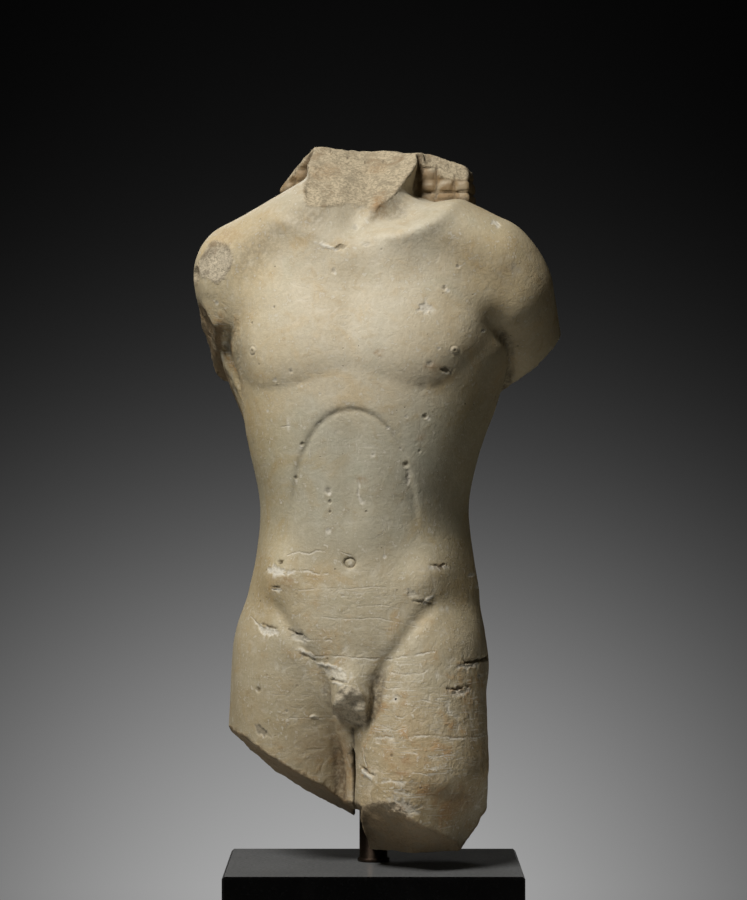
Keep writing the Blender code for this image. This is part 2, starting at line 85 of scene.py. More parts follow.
# Coarse blocks in which the field is first sampled, in cells, and how near the surface a block is looked into
BLOCK = 4
BLOCK_REACH = 1.8
# Random grain: cells after which it repeats, and its layers, each with its strength, size and seed
LATTICE = 32
ROUGHNESS = ((0.0016, 0.020, 3), (0.0009, 0.009, 5))
FINE_GRAIN = ((0.65, 0.0032, 11), (0.45, 0.0014, 12))
COARSE_GRAIN = ((1.0, 0.0075, 13),)
CROSS_GRAIN = ((1.0, 0.0048, 14),)
# How many times rougher the break of the genitals is than the others
STUB_ROUGHER = 1.6

# How far the body is turned to the left on its stand. Its own frame has its sideways axis through both
# shoulders, its depth axis negative in front, and heights from the plinth's underside
TURN = math.radians(10.0)

# Sideways place of the body's midline at each height
MIDLINE = ((0.10, -0.010), (0.30, -0.0095), (0.42, -0.0085), (0.55, -0.006), (0.70, -0.008))
# Trunk sections: height, half width, reach forward, reach back, squareness of the outline, how far behind the
# post's axis the section is widest, and how much narrower its front is than that, as a share
TRUNK = (
    (0.180, 0.012, 0.030, 0.030, 2.2, 0.000, 0.00),
    (0.225, 0.030, 0.052, 0.050, 2.2, 0.004, 0.00),
    (0.265, 0.0708, 0.0643, 0.070, 2.2, 0.010, 0.07),
    (0.300, 0.1023, 0.0708, 0.076, 2.2, 0.016, 0.02),
    (0.335, 0.1043, 0.0706, 0.074, 2.2, 0.020, 0.08),
    (0.370, 0.0992, 0.0681, 0.067, 2.2, 0.022, 0.18),
    (0.415, 0.0943, 0.0720, 0.062, 2.25, 0.022, 0.13),
    (0.460, 0.1020, 0.0755, 0.067, 2.25, 0.022, 0.03),
    (0.510, 0.1182, 0.0788, 0.077, 2.25, 0.020, 0.07),
    (0.560, 0.1290, 0.0779, 0.084, 2.30, 0.018, 0.05),
    (0.610, 0.1110, 0.0667, 0.086, 2.30, 0.014, -0.02),
    (0.650, 0.0850, 0.0610, 0.078, 2.15, 0.010, -0.01),
    (0.685, 0.0500, 0.034, 0.052, 2.0, 0.004, 0.00),
    (0.705, 0.0150, 0.015, 0.020, 2.0, 0.000, 0.00),
)
# Carved lines of the front, as (distance from the midline, height). The breast's edge differs by side
CHEST_EDGE_RIGHT = (
    (0.000, 0.541), (0.030, 0.532), (0.052, 0.5250), (0.068, 0.5235), (0.082, 0.5310),
    (0.094, 0.543), (0.106, 0.557), (0.117, 0.5710), (0.128, 0.590), (0.134, 0.610),
)
CHEST_EDGE_LEFT = (
    (0.000, 0.541), (0.030, 0.532), (0.055, 0.525), (0.075, 0.522), (0.092, 0.525),
    (0.103, 0.534), (0.108, 0.552), (0.114, 0.574), (0.122, 0.602),
)
ARCH_HALF = 0.0548
ARCH_FOOT = 0.388
ARCH_RISE = 0.112
ARCH_ROUND = 0.91
RIB_ARCH = tuple(
    (
        ARCH_HALF * math.sin(math.radians(turn)) ** ARCH_ROUND,
        ARCH_FOOT + ARCH_RISE * math.cos(math.radians(turn)) ** ARCH_ROUND,
    )
    for turn in range(0, 91, 10)
)
ARCH_WIDTH = 0.0034
GROIN = (
    (0.080, 0.340), (0.070, 0.331), (0.059, 0.317), (0.046, 0.299), (0.031, 0.279),
    (0.019, 0.258), (0.009, 0.240), (0.000, 0.226),
)
COLLAR_BONE = ((0.018, 0.647), (0.035, 0.652), (0.055, 0.660), (0.075, 0.668), (0.092, 0.677))
# Foot of the neck's right edge, and how far the edge leans outwards
NECK_EDGE = (0.0060, 0.6600)
NECK_EDGE_COS = math.cos(math.radians(34.0))
NECK_EDGE_SIN = math.sin(math.radians(34.0))
# Round masses in the body's frame: start, end, radius at each, and how much deeper than wide
SHOULDER_RIGHT = ((0.0465, -0.0040, 0.6590), (0.1100, 0.0117, 0.6362), 0.0435, 0.0357, 1.35)
SHOULDER_LEFT = ((-0.0350, 0.0010, 0.6665), (-0.1132, 0.0121, 0.6326), 0.0428, 0.0365, 1.42)
NECK = ((-0.002, 0.014, 0.600), (-0.004, 0.002, 0.800), 0.0500, 0.0480, 1.05)
THIGH_LEFT = ((-0.0548, 0.0087, 0.285), (-0.0678, 0.019, 0.080), 0.0634, 0.0650, 1.09)
THIGH_RIGHT = ((0.0555, -0.0033, 0.285), (0.0588, -0.037, 0.080), 0.0536, 0.0632, 1.18)
ARM_RIGHT = ((0.1269, 0.0212, 0.6060), (0.1375, 0.114, 0.480), 0.0372, 0.0345, 1.18)
ARM_LEFT = ((-0.1162, 0.0073, 0.6120), (-0.1290, 0.048, 0.500), 0.0372, 0.0380, 1.22)
BREAST_RIGHT = ((0.0756, -0.0233, 0.6109), (0.1234, -0.0003, 0.5951), 0.0199, 0.0219, 1.0)
BREAST_LEFT = ((-0.0738, -0.0265, 0.6028), (-0.1133, -0.0144, 0.5981), 0.0211, 0.0194, 1.0)
ARM_TIE = ((-0.1060, 0.034, 0.565), (-0.1030, 0.030, 0.478), 0.0360, 0.0205, 1.0)
# Ovals in the body's frame: centre and radii
BETWEEN_THIGHS = ((-0.001, 0.000, 0.180), (0.020, 0.034, 0.130))
BUTTOCK = ((0.051, 0.036, 0.272), (0.056, 0.060, 0.066))
STUB = ((0.002, -0.052, 0.252), (0.0200, 0.029, 0.031))
# Round swellings and, below 0, hollows of the skin: rise on the left and on the right, then the distance of
# the centre from the midline and its height, how much each of these distances counts, and the radius
FRONT_DOMES = {
    "armpit": (0.0, -0.0060, (0.122, 0.574), (1.0, 1.0), 0.012),
    "muscle over the hip bone": (0.0132, 0.0122, (0.0691, 0.3587), (1.0, 0.88), 0.0223),
    "hollow beside the hip bone": (-0.0040, -0.0040, (0.104, 0.370), (1.0, 0.7), 0.018),
    "throat": (-0.0045, -0.0045, (0.0, 0.664), (1.0, 0.8), 0.012),
    "nipple": (0.0010, 0.0010, (0.0885, 0.5525), (1.0, 1.0), 0.0042),
    "navel": (-0.0020, -0.0020, (0.0, 0.3675), (0.85, 1.0), 0.0048),
}
BACK_DOMES = {
    "shoulder blade": (0.0060, 0.0060, (0.060, 0.578), (0.8, 0.55), 0.028),
    "loin": (0.0030, 0.0030, (0.030, 0.430), (1.0, 0.35), 0.022),
    "dimple above the seat": (-0.0030, -0.0030, (0.045, 0.350), (1.0, 1.0), 0.012),
}
# Furrows down the midline: depth, width, and the heights between which each end fades, from 0 to full depth
BREASTBONE = (0.0020, 0.012, (0.540, 0.580), (0.640, 0.600))
BELLY_LINE = (0.0018, 0.011, (0.380, 0.410), (0.500, 0.470))
SPINE = (0.0050, 0.011, (0.325, 0.370), (0.640, 0.600))
# Regions: strength, and the distances from the midline and the heights over which they set in. First how far
# the front of the thighs leans back, in metres
LEANS = {
    "left thigh": (0.0110, (-0.004, -0.020), (0.270, 0.150)),
    "right thigh": (0.0060, (0.004, 0.020), (0.190, 0.120)),
    "outer foot of the right thigh": (0.0200, (0.030, 0.085), (0.195, 0.125)),
}
# Where old dirt has stayed on the breaks
SHELTERED = {
    "under the left arm": (1.0, (-0.088, -0.100), (0.618, 0.600)),
    "left thigh": (1.0, (-0.004, -0.010), (0.215, 0.200)),
    "foot of the right thigh": (0.90, (-0.010, -0.004), (0.178, 0.145)),
}
# Where the skin is worn. The thigh's foot is less so by a share that sets in over its heights, and the left
# arm only above these heights
WORN_THIGH = (1.0, (-0.004, 0.012), (0.330, 0.235))
WORN_BELLY = (0.35, (0.085, 0.060), (0.375, 0.340))
WORN_ARM = (1.0, (-0.100, -0.112), (0.600, 0.575))
WORN_LESS = (0.45, (0.150, 0.120))
WORN_ABOVE = (0.430, 0.450)
# Strength, height, how much heights count, and radius
WORN_GROIN = (0.7, 0.268, 0.9, 0.045)
# Heights of the breast and the collar bones, depths of the grooves and hollows, and how wide they are
BREAST_RISE = 0.0051
BREAST_EDGE = 0.026
FLANK_DEPTH = 0.0090
ARCH_STEP = 0.0022
ARCH_GROOVE = 0.0014
GROIN_DEPTH = 0.0038
GROIN_WIDTH = 0.0062
COLLAR_LEFT = 0.0016
COLLAR_RIGHT = 0.0026
COLLAR_WIDTH = 0.0080
NECK_HOLLOW = 0.0165
NECK_HOLLOW_EDGE = 0.026
# Narrow cuts down the middle: half width, height of the top end, the depth beyond which they reach, 1 where
# that is towards the back and -1 towards the front, and how softly their edges are blended
CUTS = {
    "slit between the thighs in front": (0.0010, 0.222, -0.022, -1.0, 0.0015),
    "slit between the thighs behind": (0.0010, 0.222, 0.034, 1.0, 0.003),
    "cleft of the seat": (0.0018, 0.322, 0.052, 1.0, 0.008),
}
# Blends between masses
BROAD_BLEND = 0.018
THIGH_BLEND = 0.014
NARROW_BLEND = 0.006
BREAK_BLEND = 0.002
MANE_BLEND = 0.003
HEM_BLEND = 0.004
# Blends that grow upwards: the least, how much more it becomes, and the heights between which it grows
STUB_BLEND = (0.002, 0.014, (0.245, 0.275))
ARM_BLEND = (0.003, 0.024, (0.552, 0.605))
# Broken faces, in the stand's frame: a point on each and the way it faces
ARM_RIGHT_END = ((0.1462, 0.0, 0.5424), (0.68, 0.10, -0.72))
ARM_LEFT_END = ((-0.1500, 0.000, 0.5775), (-0.10, -0.42, -0.90))
ARM_LEFT_SIDE = ((-0.1290, 0.010, 0.5450), (-0.89, -0.20, -0.40))
LOCKS_RIGHT = ((0.0700, 0.0, 0.7225), (0.33, 0.0, 0.94))
LOCKS_FRONT = ((0.0590, 0.0115, 0.7126), (0.20, -0.72, 0.66))
LOCKS_LEFT = ((-0.0705, 0.0, 0.7165), (-0.74, 0.0, 0.67))
THIGH_LEFT_END = ((-0.0421, 0.0, 0.1620), (-0.50, -0.17, -0.86))
THIGH_LEFT_OUTER = ((-0.1041, 0.0, 0.2012), (-0.63, -0.15, -0.78))
THIGH_RIGHT_END = ((0.0300, 0.0, 0.1155), (0.02, 0.0, -1.0))
THIGH_RIGHT_OUTER = ((0.0945, 0.0, 0.1400), (0.80, 0.0, -0.60))
THIGH_RIGHT_FRONT = ((0.0058, -0.0660, 0.1430), (-0.45, -0.58, -0.68))
THIGH_RIGHT_TOE = ((0.0600, -0.0880, 0.1440), (0.05, -0.62, -0.78))
THIGH_RIGHT_INNER = ((-0.0115, 0.0, 0.1490), (-0.97, 0.0, -0.24))
SHOULDER_CHIP = ((-0.1355, -0.0188, 0.6274), (-0.62, -0.76, 0.20))
# Broken faces on the stub of the genitals, in the body's frame
STUB_FRONT = ((0.000, -0.0770, 0.2520), (0.00, -0.93, -0.36))
STUB_UNDER = ((-0.002, -0.0740, 0.2440), (-0.25, -0.52, -0.81))
# The neck broke in a hollow slope that rises to the back and a little to the left, and beyond a place on each
# side it rises outwards. The locks behind it broke nearly level
NECK_BREAK = 0.7030
NECK_BREAK_BACK = 0.66
NECK_BREAK_RISE = 0.0100
NECK_BREAK_SIDES = ((-0.005, 0.40), (-0.058, -1.5))
LOCKS_TOP = 0.7332
LOCKS_TOP_FALL = 0.06
# Share by which heights are scaled into distances from that slope
SLOPED = 0.8
# Sideways, the right thigh's breaks reach from the first of these places on, and the left one's up to the
# second. The chip on the right thigh's inner edge ends at this height
RIGHT_FROM = -0.0170
LEFT_UP_TO = -0.0100
THIGH_INNER_TOP = 0.1490
# Lowest height of the break on the left of the locks, then the innermost place and the lowest height of the
# one in front of them
LOCKS_LOWEST = 0.695
LOCKS_INNER = 0.0450
LOCKS_BREAK = 0.7060
# Centre and radii of the chip on the left shoulder, with the grain of its rim, and of the notch beside it
CHIP_REACH = ((-0.1400, -0.0210, 0.6280), (0.0190, 0.0280, 0.0165))
CHIP_GRAIN = ((0.0070, 0.0130, 9),)
SHOULDER_NOTCH = ((-0.1635, 0.0020, 0.6215), (0.0100, 0.0200, 0.0085))
# Long locks behind the neck: a bead's width and height and how far it stands out, then the whole mass's half
# width, middle, hem, front, and how much it curves forward towards its sides
LOCK_WIDTH = 0.0160
BEAD_HEIGHT = 0.0112
BEAD_RELIEF = 0.0024
MANE_HALF = 0.0855
MANE_CENTRE = 0.0045
MANE_HEM = 0.600
MANE_FRONT = 0.022
MANE_ROUND = 3.4
# Above this height the locks draw together, by this much for each metre
MANE_SHOULDER = 0.700
MANE_TAPER = 0.20
# How far the locks reach back from the post's axis: height, reach
MANE_REACH = ((0.600, 0.096), (0.640, 0.094), (0.680, 0.090), (0.720, 0.084), (0.760, 0.080))


def smooth_union(a, b, blend):
    share = np.clip(0.5 + 0.5 * (b - a) / blend, 0.0, 1.0)
    return b + (a - b) * share - blend * share * (1.0 - share)


def smooth_cut(a, b, blend):
    """What of a is outside b, with the edge between them eased."""
    return -smooth_union(-a, b, blend)


def along(stations, at, column=1):
    """Smooth curve through the stations: the value in that column at each position."""
    x = np.array([row[0] for row in stations])
    y = np.array([row[column] for row in stations])
    slope = np.gradient(y, x)
    at = np.clip(at, x[0], x[-1])
    i = np.clip(np.searchsorted(x, at) - 1, 0, len(x) - 2)
    span = x[i + 1] - x[i]
    t = (at - x[i]) / span
    return (
        (2 * t**3 - 3 * t**2 + 1) * y[i]
        + (t**3 - 2 * t**2 + t) * span * slope[i]
        + (3 * t**2 - 2 * t**3) * y[i + 1]
        + (t**3 - t**2) * span * slope[i + 1]
    )


def step(value, low, high):
    """0 below low, 1 above high, eased between. low may be the greater one."""
    t = np.clip((value - low) / (high - low), 0.0, 1.0)
    return t * t * (3.0 - 2.0 * t)


def blend_at(w, least, more, heights):
    """The width of a blend that grows upwards."""
    return least + more * step(w, *heights)


def hill(distance, width):
    return np.exp(-((distance / width) ** 2))


def region(side, w, strength, places, heights):
    """As strong as that where both the place and the height have passed their second value, else weaker."""
    return strength * step(side, *places) * step(w, *heights)


def domes(forms, side, w):
    """Height of those round swellings and hollows, which lie on both sides of the midline."""
    high = 0.0
    for left, right, centre, shares, radius in forms.values():
        distance = np.hypot((np.abs(side) - centre[0]) * shares[0], (w - centre[1]) * shares[1])
        high = high + np.where(side > 0.0, right, left) * hill(distance, radius)
    return high


def furrow(side, w, depth, width, foot, head):
    """Depth of a furrow down the midline, which fades at its foot and at its head."""
    return depth * hill(side, width) * step(w, *foot) * step(w, *head)


def ellipsoid(point, centre, radii):
    scaled = [(p - c) / r for p, c, r in zip(point, centre, radii)]
    reach = np.sqrt(sum(s * s for s in scaled))
    slope = np.sqrt(sum((s / r) ** 2 for s, r in zip(scaled, radii)))
    return reach * (reach - 1.0) / np.maximum(slope, 1e-9)


def limb(point, start, end, start_radius, end_radius, depth_share):
    """Round bar from start to end whose section is deeper than wide by depth_share."""
    axis = np.subtract(end, start)
    offset = [p - s for p, s in zip(point, start)]
    share = sum(o * a for o, a in zip(offset, axis)) / np.dot(axis, axis)
    share = np.clip(share, 0.0, 1.0)
    across = [o - a * share for o, a in zip(offset, axis)]
    across[1] = across[1] / depth_share
    radius = start_radius + (end_radius - start_radius) * share
    return np.sqrt(sum(c * c for c in across)) - radius


def stone_grain(point, size, seed):
    """Smooth random values from -1 to 1 on a lattice of that size, which repeats after LATTICE cells."""
    table = np.random.default_rng(seed).uniform(-1.0, 1.0, (LATTICE, LATTICE, LATTICE))
    cell, weight = [], []
    for p in point:
        scaled = p / size
        floor = np.floor(scaled)
        t = scaled - floor
        cell.append(floor.astype(int))
        weight.append(t * t * (3.0 - 2.0 * t))
    total = 0.0
    for i in (0, 1):
        for j in (0, 1):
            for k in (0, 1):
                corner = table[tuple((c + d) % LATTICE for c, d in zip(cell, (i, j, k)))]
                share = 1.0
                for side, t in zip((i, j, k), weight):
                    share = share * (t if side else 1.0 - t)
                total = total + corner * share
    return total


def body_point(x, y, z):
    """The turned body's own frame: distance from its midline, depth (front negative) and height."""
    sideways = x * math.cos(TURN) - y * math.sin(TURN)
    return sideways - along(MIDLINE, z), x * math.sin(TURN) + y * math.cos(TURN), z


def stretch_distance(a, b, start, end):
    """Distance from (a, b) to the straight stretch from start to end, and the share of it passed there."""
    (a0, b0), (a1, b1) = start, end
    run = ((a - a0) * (a1 - a0) + (b - b0) * (b1 - b0)) / ((a1 - a0) ** 2 + (b1 - b0) ** 2)
    share = np.clip(run, 0.0, 1.0)
    return np.hypot(a - a0 - share * (a1 - a0), b - b0 - share * (b1 - b0)), share


def line_distance(stations, a, b):
    """Distance from (a, b) to the line through the stations, and the share of the line passed there."""
    best = np.full(np.shape(a), FAR_AWAY)
    share = np.zeros(np.shape(a))
    stretches = list(zip(stations, stations[1:]))
    for i, (start, end) in enumerate(stretches):
        distance, passed = stretch_distance(a, b, start, end)
        share = np.where(distance < best, (i + passed) / len(stretches), share)
        best = np.minimum(best, distance)
    return best, share


def trunk(side, v, w):
    """Chest, belly and hips as a stack of rounded sections."""
    half, ahead, behind, n, widest, narrower = (along(TRUNK, w, column) for column in range(1, 7))
    v = v - widest
    side = side + math.tan(TURN) * widest
    depth = np.where(v < 0, ahead + widest, behind - widest)
    half = half * (1.0 - narrower * np.clip(-v / depth, 0.0, 1.0))
    section = ((np.abs(side) / half) ** n + (np.abs(v) / depth) ** n) ** (1.0 / n)
    return np.hypot(side, v) * (1.0 - 1.0 / np.maximum(section, 1e-4))


def front_relief(side, v, w):
    """Height of the carving on the front, in metres outwards."""
    out = np.abs(side)
    on_right = side > 0.0
    # Breast: a broad pillow with a round lower edge that fades towards the collar bones
    right_edge, _ = line_distance(CHEST_EDGE_RIGHT, out, w)
    left_edge, _ = line_distance(CHEST_EDGE_LEFT, out, w)
    edge = np.where(on_right, right_edge, left_edge)
    lower = np.where(on_right, along(CHEST_EDGE_RIGHT, out), along(CHEST_EDGE_LEFT, out))
    rise = np.clip((np.where(w > lower, edge, -edge) + 0.004) / BREAST_EDGE, 0.0, 1.0)
    breast = (1.0 - (1.0 - rise) ** 2) * step(w, 0.680, 0.585) * step(out, 0.150, 0.095)
    high = BREAST_RISE * breast * (0.43 + 0.57 * step(out, 0.006, 0.060))
    high = high + domes(FRONT_DOMES, side, w)
    high = high - furrow(side, w, *BREASTBONE) - furrow(side, w, *BELLY_LINE)
    # The left flank lies back behind the stone that tied the arm to it
    high = high - FLANK_DEPTH * hill(w - 0.532, 0.040) * step(side, -0.085, -0.115)
    # Rib arch: the belly inside it lies back a little and a groove runs along its edge
    arch, _ = line_distance(RIB_ARCH, out, w)
    within = (out < ARCH_HALF) & (w < along(RIB_ARCH, out))
    signed = np.where(within, arch, -arch)
    groove = ARCH_STEP * step(signed, -0.003, 0.007) + ARCH_GROOVE * hill(arch, ARCH_WIDTH)
    high = high - groove * step(w, 0.385, 0.425)
    # Groin folds
    fold, share = line_distance(GROIN, out, w)
    high = high - GROIN_DEPTH * hill(fold, GROIN_WIDTH) * step(share, 0.0, 0.30)
    # Collar bones, and the deep hollow above the right one, beside the neck's edge
    bone, share = line_distance(COLLAR_BONE, out, w)
    ends = step(share, 1.0, 0.60) * step(share, 0.0, 0.3)
    high = high + np.where(on_right, COLLAR_RIGHT, COLLAR_LEFT) * hill(bone, COLLAR_WIDTH) * ends
    aside = (side - NECK_EDGE[0]) * NECK_EDGE_COS - (w - NECK_EDGE[1]) * NECK_EDGE_SIN
    hollow = 1.0 - (1.0 - np.clip(aside / NECK_HOLLOW_EDGE, 0.0, 1.0)) ** 2
    high = high - NECK_HOLLOW * hollow * step(aside, 0.056, NECK_HOLLOW_EDGE) * step(w, 0.649, 0.670)
    # Both thighs lean back towards their breaks, and the right one is worn round at its outer foot
    lean = sum(region(side, w, *row) for row in LEANS.values())
    high = high - lean * step(v, 0.010, -0.030)
    return step(v, 0.040, 0.000) * high


def back_relief(side, v, w):
    """Height of the plainer carving on the back, in metres outwards."""
    return step(v, 0.012, 0.040) * (domes(BACK_DOMES, side, w) - furrow(side, w, *SPINE))


def broken_face(point, face):
    """Signed distance to a plane through a point, negative on the side that its normal points to."""
    place, normal = face
    unit = np.array(normal) / np.linalg.norm(normal)
    return -sum((p - q) * n for p, q, n in zip(point, place, unit))


def grains(point, layers):
    """The layers of grain at a point, one upon another."""
    return sum(height * stone_grain(point, size, seed) for height, size, seed in layers)


def roughness(point):
    """Unevenness of broken stone, in metres."""
    return grains(point, ROUGHNESS)


def stub_break(point, rough):
    """Signed distance to the broken faces of the genitals, which are rougher than the others."""
    faces = np.minimum(broken_face(point, STUB_FRONT), broken_face(point, STUB_UNDER))
    return faces + STUB_ROUGHER * rough


def arms(spot, point, rough):
    """Stumps of both upper arms, already broken off. spot is in the stand's frame, point in the body's."""
    right = limb(point, *ARM_RIGHT)
    right = smooth_cut(right, broken_face(spot, ARM_RIGHT_END) + rough, BREAK_BLEND)
    # Of the left arm only the shoulder cap is left, and the stone that tied the arm to the flank
    side_face = broken_face(spot, ARM_LEFT_SIDE)
    end_face = np.minimum(broken_face(spot, ARM_LEFT_END), side_face)
    left = smooth_cut(limb(point, *ARM_LEFT), end_face + rough, BREAK_BLEND)
    tie = smooth_cut(limb(point, *ARM_TIE), side_face + rough, BREAK_BLEND)
    return right, smooth_union(left, tie, 2.0 * BREAK_BLEND)


def in_bead(across, w):
    """How far a point is from the middle of its bead, sideways and in height: 0 there and 1 at the rims."""
    return np.abs((across / LOCK_WIDTH + 0.5) % 1.0 - 0.5) * 2.0, np.abs((w / BEAD_HEIGHT) % 1.0 - 0.5) * 2.0


def mane(side, v, w):
    """Mass of long beaded locks behind the neck, falling on the upper back."""
    side = side - MANE_CENTRE
    half = MANE_HALF - MANE_TAPER * np.maximum(w - MANE_SHOULDER, 0.0)
    back = along(MANE_REACH, w) - MANE_ROUND * side**2
    across = np.abs(side) - half
    deep = np.abs(v - 0.5 * (back + MANE_FRONT)) - 0.5 * (back - MANE_FRONT)
    slab = np.minimum(np.maximum(across, deep), 0.0)
    slab = slab + np.hypot(np.maximum(across, 0.0), np.maximum(deep, 0.0))
    slab = smooth_cut(slab, w - MANE_HEM, HEM_BLEND)
    column, row = in_bead(side, w)
    return slab - BEAD_RELIEF * ((1.0 - column**3) * (1.0 - row**3) - 0.5)


def legs(point):
    """Both thighs, close together and joined between."""
    thighs = smooth_union(limb(point, *THIGH_LEFT), limb(point, *THIGH_RIGHT), NARROW_BLEND)
    return smooth_union(thighs, ellipsoid(point, *BETWEEN_THIGHS), NARROW_BLEND)


def torso_field(x, y, z):
    """The carved marble before its breaks, with only the arms and the genitals already broken."""
    spot = (x, y, z)
    point = side, v, w = body_point(x, y, z)
    rough = roughness(spot)
    body = trunk(side, v, w)
    for mass in (SHOULDER_RIGHT, SHOULDER_LEFT):
        body = smooth_union(body, limb(point, *mass), BROAD_BLEND)
    body = smooth_union(body, limb(point, *NECK), NARROW_BLEND)
    body = smooth_union(body, legs(point), THIGH_BLEND)
    body = smooth_union(body, ellipsoid((np.abs(side), v, w), *BUTTOCK), THIGH_BLEND)
    body = body - front_relief(side, v, w) - back_relief(side, v, w)
    for half, top, depth, backwards, blend in CUTS.values():
        cut = np.hypot(side, np.maximum(w - top, 0.0)) - half
        body = smooth_cut(body, np.maximum(cut, backwards * (depth - v)), blend)
    # What is left of the genitals
    stub = smooth_cut(ellipsoid(point, *STUB), stub_break(point, rough), BREAK_BLEND)
    body = smooth_union(body, stub, blend_at(w, *STUB_BLEND))
    # Towards the shoulders the arms run into the chest, lower down they lie against it
    for arm, breast in zip(arms(spot, point, rough), (BREAST_RIGHT, BREAST_LEFT)):
        arm = smooth_union(arm, limb(point, *breast), BROAD_BLEND)
        body = smooth_union(body, arm, blend_at(w, *ARM_BLEND))
    return smooth_union(body, mane(side, v, w), MANE_BLEND)


def breaks(x, y, z):
    """Field of what is broken away at the neck and the legs, negative where stone is missing."""
    spot = (x, y, z)
    neck = NECK_BREAK + NECK_BREAK_BACK * y + NECK_BREAK_RISE * step(x, 0.022, -0.052)
    for place, slope in NECK_BREAK_SIDES:
        neck = neck + np.maximum(slope * (x - place), 0.0)
    gone = (np.minimum(neck, LOCKS_TOP - LOCKS_TOP_FALL * x) - z) * SLOPED
    for face in (LOCKS_RIGHT, THIGH_RIGHT_END, THIGH_RIGHT_OUTER):
        gone = np.minimum(gone, broken_face(spot, face))
    for face in (THIGH_RIGHT_FRONT, THIGH_RIGHT_TOE):
        gone = np.minimum(gone, np.maximum(broken_face(spot, face), RIGHT_FROM - x))
    corner = np.maximum(LOCKS_INNER - x, LOCKS_BREAK - z)
    gone = np.minimum(gone, np.maximum(broken_face(spot, LOCKS_FRONT), corner))
    gone = np.minimum(gone, np.maximum(broken_face(spot, LOCKS_LEFT), LOCKS_LOWEST - z))
    # The inner edge of the right thigh is chipped off below, beside the post
    below = np.maximum(z - THIGH_INNER_TOP, RIGHT_FROM - x)
    gone = np.minimum(gone, np.maximum(broken_face(spot, THIGH_RIGHT_INNER), below))
    for face in (THIGH_LEFT_END, THIGH_LEFT_OUTER):
        gone = np.minimum(gone, np.maximum(broken_face(spot, face), x - LEFT_UP_TO))
    reach = ellipsoid(spot, *CHIP_REACH) + grains(spot, CHIP_GRAIN)
    gone = np.minimum(gone, np.maximum(broken_face(spot, SHOULDER_CHIP), reach))
    gone = np.minimum(gone, ellipsoid(spot, *SHOULDER_NOTCH))
    return gone + roughness(spot)


def marble(x, y, z):
    return smooth_cut(torso_field(x, y, z), breaks(x, y, z), BREAK_BLEND)


# Small carving and damage of the front, in millimetres. A place is a distance from the midline and a height.
# Pits: place, radius, depth, and how pale the bruise round them is
PITS = (
    (1.0, 659.0, 2.6, 1.5, 0.5), (-16.7, 621.0, 2.0, 1.0, 0.5), (-15.2, 618.6, 1.1, 0.3, 0.9),
    (79.0, 605.5, 2.0, 1.3, 0.2), (81.5, 603.5, 1.6, 0.4, 0.9), (90.0, 624.5, 1.5, 0.8, 0.4),
    (-70.0, 590.0, 1.2, 0.5, 0.0), (-53.5, 533.8, 1.8, 0.7, 0.3), (-68.5, 526.2, 1.6, 0.6, 0.8),
    (-77.0, 499.5, 1.1, 0.3, 0.9), (67.5, 540.0, 2.2, 0.8, 0.4), (109.0, 569.0, 1.3, 0.4, 0.8),
    (63.0, 494.5, 1.9, 1.2, 0.0), (65.5, 492.5, 1.4, 0.4, 0.9), (48.0, 494.0, 1.3, 0.4, 0.6),
    (-43.5, 520.7, 1.1, 0.3, 0.9), (-28.0, 488.8, 1.1, 0.4, 0.8), (-43.0, 470.6, 1.9, 1.3, 0.0),
    (-44.0, 467.2, 1.2, 0.3, 0.9), (-49.5, 441.2, 1.6, 1.0, 0.0), (-49.3, 438.4, 1.1, 0.3, 0.9),
    (-65.0, 419.6, 1.0, 0.3, 0.8), (-19.6, 429.4, 2.7, 1.5, 0.4), (-18.2, 427.6, 1.5, 0.2, 1.0),
    (-17.6, 420.5, 1.6, 1.2, 0.0), (-17.6, 411.8, 1.2, 1.0, 0.0), (-19.0, 395.4, 2.2, 0.9, 0.9),
    (20.2, 461.1, 1.5, 0.4, 0.9), (32.5, 484.4, 1.6, 0.5, 0.9), (43.0, 466.3, 1.2, 0.4, 0.7),
    (47.4, 452.4, 2.4, 1.9, 0.0), (58.5, 464.5, 1.3, 0.6, 0.0), (29.9, 373.0, 1.4, 0.4, 0.9),
    (95.5, 354.8, 1.5, 0.4, 0.9), (100.5, 344.5, 1.6, 0.4, 0.9), (107.0, 325.5, 1.8, 0.5, 0.8),
    (-83.5, 255.4, 2.0, 1.8, 0.0), (-57.0, 237.2, 1.4, 0.6, 0.3), (41.8, 250.5, 2.6, 1.0, 0.6),
    (-127.5, 595.0, 1.8, 0.6, 0.9), (75.0, 553.0, 1.4, 0.4, 0.7), (-27.0, 514.0, 1.2, 0.4, 0.6),
    (112.5, 262.0, 1.8, 0.6, 0.8), (108.0, 268.0, 1.5, 0.5, 0.8), (40.0, 203.0, 1.6, 0.8, 0.0),
)
